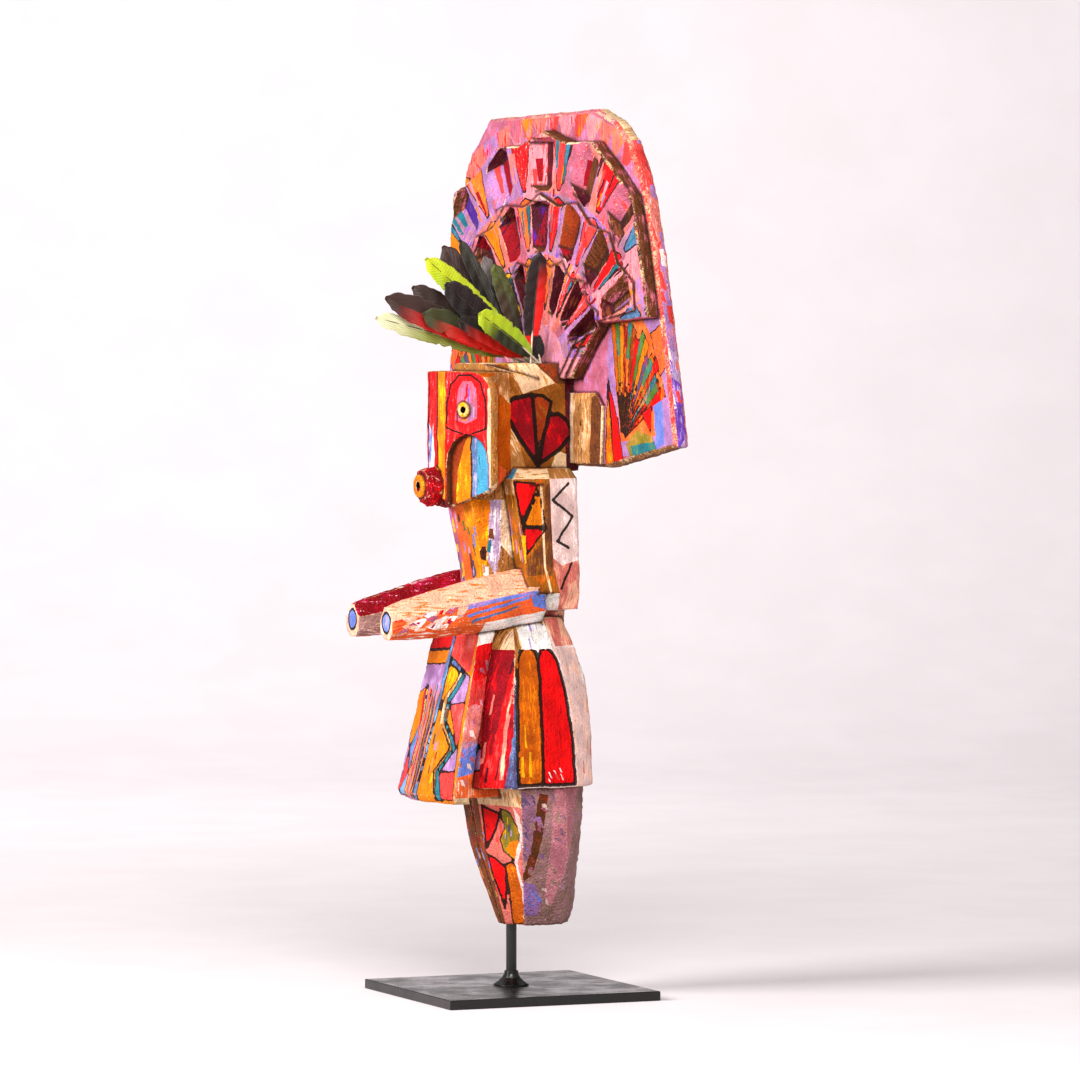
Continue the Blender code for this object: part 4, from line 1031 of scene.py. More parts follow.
def fill_facet(facet):
    """Triangles of one facet as point numbers, the paints of each, and its points' line distances."""
    gap = facet.spacing()
    rim = rims[facet.index]
    ids = sorted({i for pair in rim for i in pair})
    place = {i: n for n, i in enumerate(ids)}
    solid = shell[corners[facet.faces]]
    flat_solid = facet.chart(solid)
    flat = [tuple(p) for p in facet.chart(np.array([points[i] for i in ids]))]
    low, high = np.min(flat, 0), np.max(flat, 0)
    edges = [(place[a], place[b]) for a, b in rim]
    tree = kdtree.KDTree(len(flat) + 1)
    for n, p in enumerate(flat):
        tree.insert((*p, 0), n)
    tree.balance()
    marks = [m for m in facet.marks() if overlaps(m["line"], low, high)]
    taken = {}
    for mark in marks:
        line = mark["line"]
        _, _, fit = locate(np.array(line), flat_solid)
        previous = None
        numbers = []
        for point, ok in zip(line, fit > 0):
            number = None
            if ok and tree.find((*point, 0))[2] > RIM_GAP * gap:
                cell = (round(point[0] / MERGE), round(point[1] / MERGE))
                number = taken.get(cell)
                if number is None:
                    number = taken[cell] = len(flat)
                    flat.append(point)
            numbers.append(number)
        if mark["closed"]:
            numbers.append(numbers[0])
        for number in numbers:
            if number is not None and previous is not None and number != previous:
                edges.append((previous, number))
            previous = number
    fixed = len(flat)
    tree = kdtree.KDTree(fixed)
    for n, p in enumerate(flat):
        tree.insert((*p, 0), n)
    tree.balance()
    draw = random.Random(facet.index)
    columns = int((high[0] - low[0]) / gap) + 1
    rows = int((high[1] - low[1]) / (gap * ROW_HEIGHT)) + 1
    loose = []
    if facet.area > gap * gap:
        for j in range(rows + 1):
            for i in range(columns + 1):
                x = low[0] + gap * (i + 0.5 * (j % 2) + draw.uniform(-JITTER, JITTER))
                y = low[1] + gap * (ROW_HEIGHT * j + draw.uniform(-JITTER, JITTER))
                loose.append((x, y))
    if loose:
        _, _, fit = locate(np.array(loose), flat_solid)
        loose = [p for p, ok in zip(loose, fit > 0) if ok and tree.find((*p, 0))[2] > LOOSE_GAP * gap]
    flat += loose
    made = geometry.delaunay_2d_cdt([Vector(p) for p in flat], edges, [], 0, 1e-5, True)
    verts, _, faces, sources = made[0], made[1], made[2], made[3]
    chart_points = np.array([v[:] for v in verts])
    triangles = np.array([f[:] for f in faces if len(f) == 3])
    if not len(triangles):
        return [], [], {}
    middles = chart_points[triangles].mean(1)
    _, _, fit = locate(middles, flat_solid)
    triangles = triangles[fit > -RIM_BITE]
    middles = middles[fit > -RIM_BITE]
    on_rim = np.array([any(s < len(ids) for s in source) for source in sources])
    sides = chart_points[triangles] - chart_points[np.roll(triangles, 1, 1)]
    longest = (sides ** 2).sum(2).max(1)
    height = np.abs(cross2(sides[:, 0], sides[:, 1])) / np.maximum(longest, 1e-12)
    flat_sliver = (height < THIN) & on_rim[triangles].all(1)
    triangles, middles = triangles[~flat_sliver], middles[~flat_sliver]
    owner, weights, _ = locate(chart_points, flat_solid)
    lifted = (solid[owner] * weights[:, :, None]).sum(1)
    numbers = []
    for n, source in enumerate(sources):
        rim_source = [s for s in source if s < len(ids)]
        if rim_source:
            numbers.append(ids[rim_source[0]])
        else:
            numbers.append(len(points))
            points.append(tuple(lifted[n]))
    numbers = np.array(numbers)
    paint = np.zeros(len(triangles), int)
    palette = [facet.zone["paints"]]
    reach = np.full(len(chart_points), NO_LINE)
    for mark in marks:
        if mark["paints"]:
            palette.append(mark["paints"])
            within = inside(middles, mark["line"])
            paint[within] = len(palette) - 1
            reach[inside(chart_points, mark["line"])] = NO_LINE  # a patch covers the lines below it
        if mark["ink"]:
            away = line_distance(chart_points, mark["line"], mark["closed"]) - mark["ink"]
            reach = np.minimum(reach, away)
    return numbers[triangles], [palette[i] for i in paint], dict(zip(numbers.tolist(), reach.tolist()))


print("a facet is filled with points", FINE_GAP, "to", BACK_GAP, "grid steps apart")

# %% [markdown]
# Every facet is filled in turn and the results are joined. A rim that is nearly straight can
# leave a sliver lying over its neighbours; such strays are found by counting how many
# triangles use each edge, and are dropped.


# %% Fill every facet
skin, skin_paint, skin_facet, line_reach = [], [], [], {}
for facet in facets:
    tris, paint, reach = fill_facet(facet)
    skin.extend(tris)
    skin_paint.extend(paint)
    skin_facet.extend([facet.index] * len(tris))
    for number, value in reach.items():
        line_reach[number] = min(value, line_reach.get(number, NO_LINE))
points = np.array(points)
skin = np.array(skin)
skin_facet = np.array(skin_facet)
flat_normals, flat_areas = face_normals(points, skin)
facing = np.array([f.normal for f in facets])[skin_facet]
turned = (flat_normals * facing).sum(1) < 0
skin[turned] = skin[turned][:, ::-1]


def stray(t, rim_use):
    """True for a sliver laid just outside a nearly straight rim, over its neighbours."""
    uses = sorted(rim_use[frozenset(pair)] for pair in zip(t, t[1:] + t[:1]))
    return uses[0] == 1 and uses[1] > 2


keep = np.array([len(set(t)) == 3 for t in skin.tolist()])
for _ in range(4):
    rim_use = {}
    for t in skin[keep].tolist():
        for pair in zip(t, t[1:] + t[:1]):
            rim_use[frozenset(pair)] = rim_use.get(frozenset(pair), 0) + 1
    keep = np.array([k and not stray(t, rim_use) for t, k in zip(skin.tolist(), keep)])
skin, skin_facet = skin[keep], skin_facet[keep]
skin_paint = [p for p, k in zip(skin_paint, keep) if k]
print(len(points), "points and", len(skin), "triangles in the painted skin")

# %% [markdown]
# Wood that has been handled has soft, chipped edges, and thick acrylic stands up in ridges.
# The skin is moved in or out along its normals: back at sharp edges, unevenly everywhere,
# and in short ridges where the paint is thick.

# %% Wear and thick paint
flat_normals, flat_areas = face_normals(points, skin)
point_normals = np.zeros_like(points)
for i in range(3):
    np.add.at(point_normals, skin[:, i], flat_normals * flat_areas[:, None])
point_normals /= np.maximum(np.linalg.norm(point_normals, axis=1), 1e-9)[:, None]
thickness = np.zeros(len(points))
thick_of = np.array([f.zone["thick"] for f in facets])[skin_facet]
for i in range(3):
    np.maximum.at(thickness, skin[:, i], thick_of)


def crease_distance(kind):
    """Each point's distance in mm to the nearest crease of a kind."""
    tree = kdtree.KDTree(len(creases[kind]))
    for n, p in enumerate(creases[kind]):
        tree.insert(p, n)
    tree.balance()
    return np.array([tree.find(p)[2] for p in points]) * STEP_MM


edge_mm = crease_distance("convex")
groove_mm = crease_distance("hollow")
EDGE_WEAR_MM = 0.42  # rubbed off a sharp edge
EDGE_WIDTH_MM = 1.5
UNEVEN_MM = 0.6  # the knife's waviness
RIDGE_MM = 0.62  # paint ridges
THICKEST = 1.6  # thicker paint than this gives no higher ridges
INK_GROOVE_MM = 0.12  # drawn lines are pressed in
CHIP_MM, WAVE_MM, DENT_MM, RIDGE_APART_MM = 5.0, 17.0, 7.5, 4.6


def roughly(p, size_mm, seed):
    """Smooth noise from -1 to 1 whose lumps are about a size apart."""
    return noise.noise(Vector(p) * (STEP_MM / size_mm) + Vector((seed, 2 * seed, -seed)))


shift = np.zeros(len(points))
for n, p in enumerate(points.tolist()):
    chip = 0.75 + 0.9 * roughly(p, CHIP_MM, 7.1)
    wear = -EDGE_WEAR_MM * chip * math.exp(-(edge_mm[n] / EDGE_WIDTH_MM) ** 2)
    uneven = UNEVEN_MM * (roughly(p, WAVE_MM, 1.3) + 0.5 * roughly(p, DENT_MM, 4.4))
    ridge = RIDGE_MM * min(thickness[n], THICKEST) * (1 - abs(roughly(p, RIDGE_APART_MM, 9.8)) * 2.6)
    ink = -INK_GROOVE_MM if line_reach.get(n, NO_LINE) < 0.2 else 0.0
    shift[n] = wear + uneven + max(-0.4, ridge) * 0.6 + ink
skin_points = points + point_normals * (shift / STEP_MM)[:, None]
print("moved the skin by", round(float(shift.min()), 2), "to", round(float(shift.max()), 2), "mm")

# %% [markdown]
# The moved skin becomes one mesh that stands in for the plain solid. Each triangle's corners
# carry its three paints and its place along the brush stroke, and each point carries its
# distance to the nearest line, sharp edge and hollow, so that the finish can use them.

# %% Build the carving
metres = np.stack([skin_points[:, 1], -skin_points[:, 0], skin_points[:, 2]], 1) * STEP
metres[:, 2] += FIGURE_FOOT
used_points = np.unique(skin)
renumber = np.zeros(len(points), int)
renumber[used_points] = np.arange(len(used_points))
mesh = bpy.data.meshes.new("painted_carving")
mesh.from_pydata(metres[used_points].tolist(), [], renumber[skin].tolist())
mesh.polygons.foreach_set("use_smooth", [True] * len(skin))
carving = bpy.data.objects.new("painted_carving", mesh)
bpy.context.scene.collection.objects.link(carving)


def point_value(name, values):
    """Stores one number for each point of the carving."""
    attribute = mesh.attributes.new(name, "FLOAT", "POINT")
    attribute.data.foreach_set("value", np.asarray(values, np.float32)[used_points])


def corner_colour(name, rank):
    """Stores one of the three paints of each triangle."""
    attribute = mesh.attributes.new(name, "FLOAT_COLOR", "CORNER")
    values = np.array([[*LINEAR[p[rank]], 1.0] for p in skin_paint])
    attribute.data.foreach_set("color", np.repeat(values, 3, 0).astype(np.float32).ravel())


for rank, name in enumerate(("paint_main", "paint_second", "paint_fleck")):
    corner_colour(name, rank)
ink_mm = np.array([line_reach.get(n, NO_LINE) for n in range(len(points))]) * STEP_MM
point_value("ink_reach", np.minimum(ink_mm, 3.0))
point_value("edge_reach", np.minimum(edge_mm, 6.0))
point_value("groove_reach", np.minimum(groove_mm, 6.0))
point_value("paint_depth", thickness)

stroke = mesh.attributes.new("brush", "FLOAT_VECTOR", "CORNER")
brush = np.zeros((len(skin), 3, 3))
for facet in facets:
    mine = np.nonzero(skin_facet == facet.index)[0]
    flat = facet.chart(points[skin[mine]]) * STEP_MM
    turn = math.radians(facet.zone["turn"])
    along = flat[..., 0] * math.cos(turn) + flat[..., 1] * math.sin(turn)
    across = -flat[..., 0] * math.sin(turn) + flat[..., 1] * math.cos(turn)
    brush[mine] = np.stack([along, across, np.full(along.shape, facet.index * 7.3)], -1)
stroke.data.foreach_set("vector", brush.astype(np.float32).ravel())
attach(carving, "root")
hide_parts("carved_figure")
edge_use = {}
for a, b, c in renumber[skin].tolist():
    for pair in ((a, b), (b, c), (c, a)):
        key = (min(pair), max(pair))
        edge_use[key] = edge_use.get(key, 0) + 1
print("open or doubled edges:", sum(v != 2 for v in edge_use.values()))

# %% [markdown]
# Every material is a small net of nodes. One function adds a node with its settings, plain
# values and links, so the nets below read from top to bottom.

# %% Node helper
def add(tree, kind, values=None, links=None, **settings):
    """Adds a node: settings are its own options, values and links go to its sockets."""
    made = tree.nodes.new(kind)
    for name, value in settings.items():
        setattr(made, name, value)
    for socket, value in (values or {}).items():
        made.inputs[socket].default_value = value
    for socket, source in (links or {}).items():
        tree.links.new(source, made.inputs[socket])
    return made


def new_material(name, roughness, metallic=0.0, ior=1.5):
    """A material whose shader has its plain values set; returns it with its tree and shader."""
    material = bpy.data.materials.new(name)
    material.use_nodes = True
    tree = material.node_tree
    shader = tree.nodes["Principled BSDF"]
    shader.inputs["Roughness"].default_value = roughness
    shader.inputs["Metallic"].default_value = metallic
    if not metallic:
        shader.inputs["IOR"].default_value = ior
    return material, tree, shader


def steps(tree, source, low, high, to_low=0.0, to_high=1.0):
    """A smooth ramp of a value between two limits."""
    return add(tree, "ShaderNodeMapRange",
        {"From Min": low, "From Max": high, "To Min": to_low, "To Max": to_high},
               {"Value": source}, interpolation_type="SMOOTHSTEP").outputs[0]


def grain(tree, vector, per_mm, detail=3.0, roughness=0.55):
    """Noise with a number of lumps for each millimetre of its vector."""
    return add(tree, "ShaderNodeTexNoise", {"Scale": per_mm, "Detail": detail, "Roughness": roughness},
               {"Vector": vector}).outputs["Fac"]


def blend(tree, factor, a, b, mode="MIX"):
    """Mixes two colours; each is a socket or a plain colour."""
    values, links = {}, {0: factor}
    for slot, colour in ((6, a), (7, b)):
        (values if isinstance(colour, tuple) else links)[slot] = colour
    return add(tree, "ShaderNodeMix", values, links, data_type="RGBA", blend_type=mode).outputs[2]


def count(tree, operation, a, b):
    """One sum; each side is a socket or a number."""
    values, links = {}, {}
    for slot, side in ((0, a), (1, b)):
        (values if isinstance(side, float) else links)[slot] = side
    return add(tree, "ShaderNodeMath", values, links, operation=operation).outputs[0]


def plus(tree, a, b, share):
    """a and a share of b."""
    return count(tree, "ADD", a, count(tree, "MULTIPLY", b, share))


def in_mm(tree):
    """The place on the object in millimetres."""
    place = add(tree, "ShaderNodeTexCoord").outputs["Object"]
    return add(tree, "ShaderNodeMapping", {"Scale": (1000.0,) * 3}, {"Vector": place}).outputs[0]


print("node helpers ready")

# %% [markdown]
# Acrylic paint on gessoed wood. The brush attribute runs along each stroke in millimetres,
# so noise stretched along it gives bristle streaks; edges are rubbed to the cream ground, which
# also stands as a painted highlight there, hollows are darkened with painted shade and a dark
# wash, and black line work is drawn with a broken edge.

# %% Painted wood
paint, tree, shader = new_material("acrylic_on_gessoed_wood", 0.6)
brush_at = add(tree, "ShaderNodeAttribute", attribute_name="brush").outputs["Vector"]
place_mm = in_mm(tree)
BRISTLE_MM = 1.1
STROKE_MM = 9.0
bristles = add(tree, "ShaderNodeMapping", {"Scale": (1 / STROKE_MM, 1 / BRISTLE_MM, 1.0)},
               {"Vector": brush_at}).outputs[0]
# The grounds of the net: long streaks, soft clouds, and two sizes of speck.
streak = grain(tree, bristles, 0.8, 4.0)
cloud = grain(tree, place_mm, 1 / 14.0, 3.0)
speck = grain(tree, place_mm, 1 / 1.5, 3.0, 0.6)
fine = grain(tree, place_mm, 1 / 0.5, 2.0, 0.6)
colours = [add(tree, "ShaderNodeAttribute", attribute_name=n).outputs["Color"]
           for n in ("paint_main", "paint_second", "paint_fleck")]
# The second paint is dragged over the first in streaks, and the third is a dry fleck.
both = plus(tree, streak, cloud, 0.55)
laid = blend(tree, steps(tree, both, 0.80, 0.93), colours[0], colours[1])
dry = count(tree, "ADD", count(tree, "MULTIPLY", speck, 0.6), count(tree, "MULTIPLY", streak, 0.5))
laid = blend(tree, steps(tree, dry, 0.66, 0.70), laid, colours[2])
# Handling darkens it unevenly, and small pits hold dirt.
tone = steps(tree, cloud, 0.3, 0.7, 0.70, 1.12)
tone = count(tree, "MULTIPLY", tone, steps(tree, fine, 0.25, 0.75, 0.76, 1.12))
pits = steps(tree, plus(tree, speck, fine, 0.4), 0.46, 0.60, 0.62, 1.0)
tone = count(tree, "MULTIPLY", tone, pits)
toned = add(tree, "ShaderNodeMix", {0: 1.0}, {6: laid, 7: add(
    tree, "ShaderNodeCombineColor", None, {0: tone, 1: tone, 2: tone}).outputs[0]},
    data_type="RGBA", blend_type="MULTIPLY")
laid = toned.outputs[2]
# Sharp edges are rubbed to the cream ground, which also stands as a painted highlight there;
# hollows are darkened by painted shade and a dark wash; and lines are broken.
edge_at = add(tree, "ShaderNodeAttribute", attribute_name="edge_reach").outputs["Fac"]
groove_at = add(tree, "ShaderNodeAttribute", attribute_name="groove_reach").outputs["Fac"]
ink_at = add(tree, "ShaderNodeAttribute", attribute_name="ink_reach").outputs["Fac"]
# Rubbed wear and a painted highlight: the cream ground shows along sharp edges.
rubbed_edge_and_highlight = plus(tree, edge_at, speck, 2.6)
rubbed_edge_and_highlight = plus(tree, rubbed_edge_and_highlight, cloud, 2.0)
gesso_wear_and_highlight = (*LINEAR["cream"], 1.0)
laid = blend(tree, steps(tree, rubbed_edge_and_highlight, 1.9, 2.6, 0.7, 0.0), laid, gesso_wear_and_highlight)
# Painted shade: hollow creases are darkened, both as the shade that falls there and as a dark wash.
hollow_wash_and_shade = plus(tree, groove_at, speck, 1.6)
laid = blend(tree, steps(tree, hollow_wash_and_shade, 1.0, 3.4, 0.8, 0.0), laid, (*linear("#341A16"), 1.0))
broken = count(tree, "ADD", ink_at, count(tree, "MULTIPLY", count(tree, "SUBTRACT", speck, 0.5), 1.5))
laid = blend(tree, steps(tree, broken, -0.05, 0.28, 0.95, 0.0), laid, (*linear("#15100F"), 1.0))
tree.links.new(laid, shader.inputs["Base Color"])
shader.inputs["Specular IOR Level"].default_value = 0.15
tree.links.new(steps(tree, count(tree, "ADD", streak, speck), 0.7, 1.3, 0.46, 0.74),
    shader.inputs["Roughness"])
# Thick paint has a crust of small lumps; thin paint shows only its bristle marks.
depth = add(tree, "ShaderNodeAttribute", attribute_name="paint_depth").outputs["Fac"]
crust = add(tree, "ShaderNodeTexVoronoi", {"Scale": 1 / 1.9, "Randomness": 1.0}, {"Vector": place_mm},
            feature="SMOOTH_F1").outputs["Distance"]
relief = count(tree, "ADD", plus(tree, streak, speck, 1.5),
               count(tree, "MULTIPLY", crust, -0.9))
relief = count(tree, "MULTIPLY", relief, count(tree, "ADD", depth, 0.45))
bump = add(tree, "ShaderNodeBump", {"Strength": 0.85, "Distance": 0.0008}, {"Height": relief})
tree.links.new(bump.outputs[0], shader.inputs["Normal"])
carving.data.materials.append(paint)
print("painted wood has", len(tree.nodes), "nodes")

# %% [markdown]
# The feathers are real ones: a horny shaft, and a vane of fine barbs that splits where it
# has been ruffled. Each gets a thin closed vane, a little cupped, with a tapered shaft along
# it. They stand in the holes of the solids, on the same curves.

# %% Feather shapes
# Each feather's tip (front, up), half width and sag, in grid steps; then its three colours:
# near the quill, towards the tip, and along the lower half.
FEATHERS = (
    (53.5, 677, 14.0, 2.0),
    (90, 636, 12.0, 2.0),
    (16, 667, 10.0, -2.0),
    (44.6, 683, 8.0, 2.0),
    (11, 659, 9.5, 3.0),
    (87, 664, 12.5, 4.0),
    (144, 605, 11.0, 5.0),
    (137, 625, 14.0, 3.0),
    (99.5, 609, 13.5, 4.0),
    (78, 639, 14.0, 2.0),
    (66.5, 603, 10.5, 4.0),
    (-13, 588, 9.5, 2.0),
    (-16, 670, 11.5, 3.0),
    (51.5, 609, 12.5, 5.0),
)
FEATHER_COLOURS = (
    ("#3B2823", "#4A332E", "#2C1D1C"),
    ("#33231F", "#46322A", "#241918"),
    ("#5B5653", "#8C8784", "#2E2B2A"),
    ("#23241A", "#34382A", "#15150F"),
    ("#2B2A1C", "#6A7A1E", "#4A3A2A"),
    ("#B4CE12", "#D6E420", "#6E8A10"),
    ("#D9DCA8", "#E8E8C4", "#8C9440"),
    ("#35241F", "#4C352E", "#D81410"),
    ("#2C3018", "#4A5020", "#E01812"),
    ("#14100F", "#1F1815", "#0D0A0A"),
    ("#120E0D", "#1C1512", "#D41410"),
    ("#171710", "#20221A", "#0E0E0A"),
    ("#1B1412", "#2A1C19", "#F01A0C"),
    ("#9CC414", "#CDE020", "#1E3010"),
)
LAYER_STEPS = 0.0026 / STEP  # the feathers stand 2.6 mm apart, one behind the other
HEAD_TOP = 561.0
VANE_PROFILE = ((0.0, 0.25), (0.12, 0.6), (0.35, 0.9), (0.6, 1.0), (0.82, 0.95), (0.94, 0.68), (1.0, 0.12))


def feather_path(index):
    """The feather's root, a guide point and its tip, as the solids have them."""
    tip_front, tip_up, _, sag = FEATHERS[index]
    root_left = (index - (len(FEATHERS) - 1) / 2) * LAYER_STEPS
    root_front = -13.0 - 6.0 * (index % 3)
    length = math.hypot(tip_front - root_front, tip_up - HEAD_TOP)
    root = grid(root_front, root_left, HEAD_TOP)
    tip = grid(tip_front, root_left * (1 + 0.9 * length / 110.0), tip_up)
    span = tip - root
    square = Vector((0, -span.z, span.y)).normalized()
    if square.z < 0:
        square = -square
    return root, root + span * 0.45 + square * (sag * STEP), tip


def frame_at(path, share):
    """The feather's centre at a share of its length, and its directions along, across and out."""
    root, guide, tip = path
    a, b = root.lerp(guide, share), guide.lerp(tip, share)
    tangent = (b - a).normalized()
    across = Vector((1, 0, 0)).cross(tangent).normalized()
    return a.lerp(b, share), tangent, across, tangent.cross(across).normalized()


def profile_width(share):
    """The vane's half width at a share of its length, as a share of its widest."""
    for (a, wa), (b, wb) in zip(VANE_PROFILE, VANE_PROFILE[1:]):
        if share <= b:
            t = (share - a) / (b - a)
            t = t * t * (3 - 2 * t) if b == 1.0 else t
            return wa + (wb - wa) * t
    return VANE_PROFILE[-1][1]


print(len(FEATHERS), "feather paths, a layer every", round(LAYER_STEPS, 2), "grid steps")

# %% [markdown]
# A vane is a closed sheet of two faces, thinner towards its rim. A few notches cut into the
# rim where barbs have parted, and the halves droop a little from the shaft.

# %% Vane
SHARES = 46  # rows along a vane
HALF_STEPS = 7  # columns on each side of the shaft
ACROSS = 2 * HALF_STEPS + 1
VANE_START = 0.14  # the bare quill's share of the length
VANE_MM = 0.16
CUP_MM = 1.1
WAVE_M = 0.00022
NOTCHES = 4
NOTCH_WIDTH = 0.014


def vane(index, path):
    """The vane's points on both faces, with the colour and the barb place of each."""
    draw = random.Random(500 + index)
    half_width = FEATHERS[index][2] * STEP
    base, light, under = (linear(c) for c in FEATHER_COLOURS[index])
    splits = []
    for _ in range(NOTCHES):
        splits.append((draw.choice((-1, 1)), draw.uniform(0.3, 0.95), draw.uniform(0.08, 0.3)))
    verts, colours, barbs = [], [], []
    for layer in (1, -1):
        for i in range(SHARES + 1):
            share = VANE_START + (1 - VANE_START) * i / SHARES
            centre, tangent, across, face = frame_at(path, share)
            wide = profile_width(i / SHARES) * half_width
            for j in range(ACROSS):
                v = (j - HALF_STEPS) / HALF_STEPS
                cut = 1.0
                for side, where, deep in splits:
                    if side * v > 0:
                        cut -= deep * math.exp(-(((i / SHARES - where) - 0.05 * abs(v)) / NOTCH_WIDTH) ** 2)
                cut *= 1 + 0.035 * math.sin(i * 2.1 + index) * abs(v) + 0.02 * math.sin(i * 5.3)
                reach = wide * v * max(cut, 0.3)
                cup = -CUP_MM / 1000 * (v * v) * (0.6 + 0.4 * math.sin(index * 1.7))
                wave = WAVE_M * math.sin(i * 0.9 + 3 * v + index)
                lean = tangent * (-0.10 * wide * abs(v) * (1 if i < SHARES else 0.3))
                edge_thin = 1.0 - 0.7 * abs(v)
                out = cup + wave + layer * VANE_MM / 1000 * edge_thin
                verts.append(centre + across * reach + lean + face * out)
                down = 1.0 if v * (1 if across.z > 0 else -1) < -0.12 else 0.0
                to_under = down * min(1.0, max(0.0, (0.92 - share) * 4))
                to_light = min(1.0, max(0.0, (share - 0.35) * 1.3)) * (0.4 + 0.6 * draw.random())
                shade = [b0 + (l0 - b0) * to_light for b0, l0 in zip(base, light)]
                shade = [s + (u0 - s) * to_under for s, u0 in zip(shade, under)]
                colours.append((*shade, 1.0))
                barbs.append((share * 60.0, abs(v) * wide * 1000, v * 5 + index * 13.0))
    return verts, colours, barbs


def vane_faces():
    """The two faces of a vane and the narrow rim that closes them."""
    ring = (SHARES + 1) * ACROSS
    faces = []
    for i in range(SHARES):
        for j in range(ACROSS - 1):
            a = i * ACROSS + j
            faces.append((a, a + 1, a + ACROSS + 1, a + ACROSS))
            b = a + ring
            faces.append((b, b + ACROSS, b + ACROSS + 1, b + 1))
        for j, turn in ((0, 1), (ACROSS - 1, -1)):
            a = i * ACROSS + j
            faces.append((a, a + ACROSS, a + ACROSS + ring, a + ring)[::turn])
    for j in range(ACROSS - 1):
        for i, turn in ((0, 1), (SHARES, -1)):
            a = i * ACROSS + j
            faces.append((a, a + 1, a + 1 + ring, a + ring)[::turn])
    return faces


print("a vane has", len(vane_faces()), "faces")

# %% [markdown]
# The shaft is a tapered rod along the feather's curve. It is pale horn at the quill and dark
# further up, and its quill goes down into the solid's own hole.

# %% Shaft
SHAFT_MM = (0.85, 0.22)  # its radius at the quill and at the tip
SHAFT_SIDES = 8
SHAFT_RUNGS = 24
HORN, DARK_HORN = linear("#D8D0B8"), linear("#3A302A")


def shaft(path, start):
    """The shaft's points, their colours, and its faces, numbered from a start."""
    root, guide, _ = path
    verts, colours, faces = [], [], []
    for i in range(SHAFT_RUNGS + 1):
        share = -0.08 + 1.06 * i / SHAFT_RUNGS
        centre, tangent, across, face = frame_at(path, max(share, 0.0))
        centre = centre + tangent * ((guide - root).length * 2 * min(share, 0.0))
        radius = (SHAFT_MM[0] + (SHAFT_MM[1] - SHAFT_MM[0]) * max(share, 0)) / 1000
        for k in range(SHAFT_SIDES):
            turn = 2 * math.pi * k / SHAFT_SIDES
            verts.append(centre + across * radius * math.cos(turn) + face * radius * math.sin(turn))
            colours.append((*(HORN if share < 0.3 else DARK_HORN), 1.0))
    for i in range(SHAFT_RUNGS):
        for k in range(SHAFT_SIDES):
            a = start + i * SHAFT_SIDES + k
            b = start + i * SHAFT_SIDES + (k + 1) % SHAFT_SIDES
            faces.append((a, b, b + SHAFT_SIDES, a + SHAFT_SIDES))
    faces.append(tuple(start + k for k in reversed(range(SHAFT_SIDES))))
    faces.append(tuple(start + SHAFT_RUNGS * SHAFT_SIDES + k for k in range(SHAFT_SIDES)))
    return verts, colours, faces


def make_feather(index):
    """A vane and its shaft in one mesh, with colour and barb attributes."""
    path = feather_path(index)
    verts, colours, barbs = vane(index, path)
    shaft_verts, shaft_colours, shaft_faces = shaft(path, len(verts))
    faces = vane_faces() + shaft_faces
    barbs += [(0.0, 0.0, index * 13.0)] * len(shaft_verts)
    name = "plume_%02d" % (index + 1)
    mesh = bpy.data.meshes.new(name)
    mesh.from_pydata(verts + shaft_verts, [], faces)
    mesh.polygons.foreach_set("use_smooth", [True] * len(faces))
    tint = mesh.attributes.new("plume_colour", "FLOAT_COLOR", "POINT")
    tint.data.foreach_set("color", np.array(colours + shaft_colours, np.float32).ravel())
    barb = mesh.attributes.new("barb", "FLOAT_VECTOR", "POINT")
    barb.data.foreach_set("vector", np.array(barbs, np.float32).ravel())
    made = bpy.data.objects.new(name, mesh)
    bpy.context.scene.collection.objects.link(made)
    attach(made, "root")
    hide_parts("feather_%02d" % (index + 1))
    return made


plumes = [make_feather(i) for i in range(len(FEATHERS))]
print(len(plumes), "feathers")

# %% [markdown]
# A vane is a mat of barbs: keratin with a soft sheen. Lines slanting out from the shaft,
# drawn about one millimetre apart so that they show, break the colour and the highlights.

# %% Feather finish
plume, tree, shader = new_material("keratin_barbs", 0.5)
shader.inputs["Sheen Weight"].default_value = 0.25
shader.inputs["Sheen Roughness"].default_value = 0.4
barb_at = add(tree, "ShaderNodeAttribute", attribute_name="barb").outputs["Vector"]
parts = add(tree, "ShaderNodeSeparateXYZ", None, {0: barb_at})
BARB_MM = 1.0
slant = count(tree, "SUBTRACT", parts.outputs[0], count(tree, "MULTIPLY", parts.outputs[1], 0.75))
lines = add(tree, "ShaderNodeMath", None, {0: count(tree, "MULTIPLY", slant, 2 * math.pi / BARB_MM)},
            operation="SINE").outputs[0]
barb_noise = grain(tree, barb_at, 0.9, 3.0)
colour = add(tree, "ShaderNodeAttribute", attribute_name="plume_colour").outputs["Color"]
lines_mask = steps(tree, plus(tree, lines, barb_noise, 1.6), 0.2, 1.8, 0.0, 0.38)
dark = blend(tree, lines_mask, colour, (*linear("#0C0908"), 1.0))
light_mask = steps(tree, barb_noise, 0.55, 0.8, 0.0, 0.22)
tree.links.new(blend(tree, light_mask, dark, (*linear("#8A7A78"), 1.0)), shader.inputs["Base Color"])
tree.links.new(steps(tree, barb_noise, 0.3, 0.7, 0.38, 0.62), shader.inputs["Roughness"])
bump = add(tree, "ShaderNodeBump", {"Strength": 0.5, "Distance": 0.0002}, {"Height": lines})
tree.links.new(bump.outputs[0], shader.inputs["Normal"])
for made in plumes:
    made.data.materials.append(plume)
print("feather finish set")

# %% [markdown]
# The stand is mild steel. The plate is painted satin black and has a faint orange-peel
# texture; the rod and its weld are blacker and glossier, and the weld keeps its ripples.

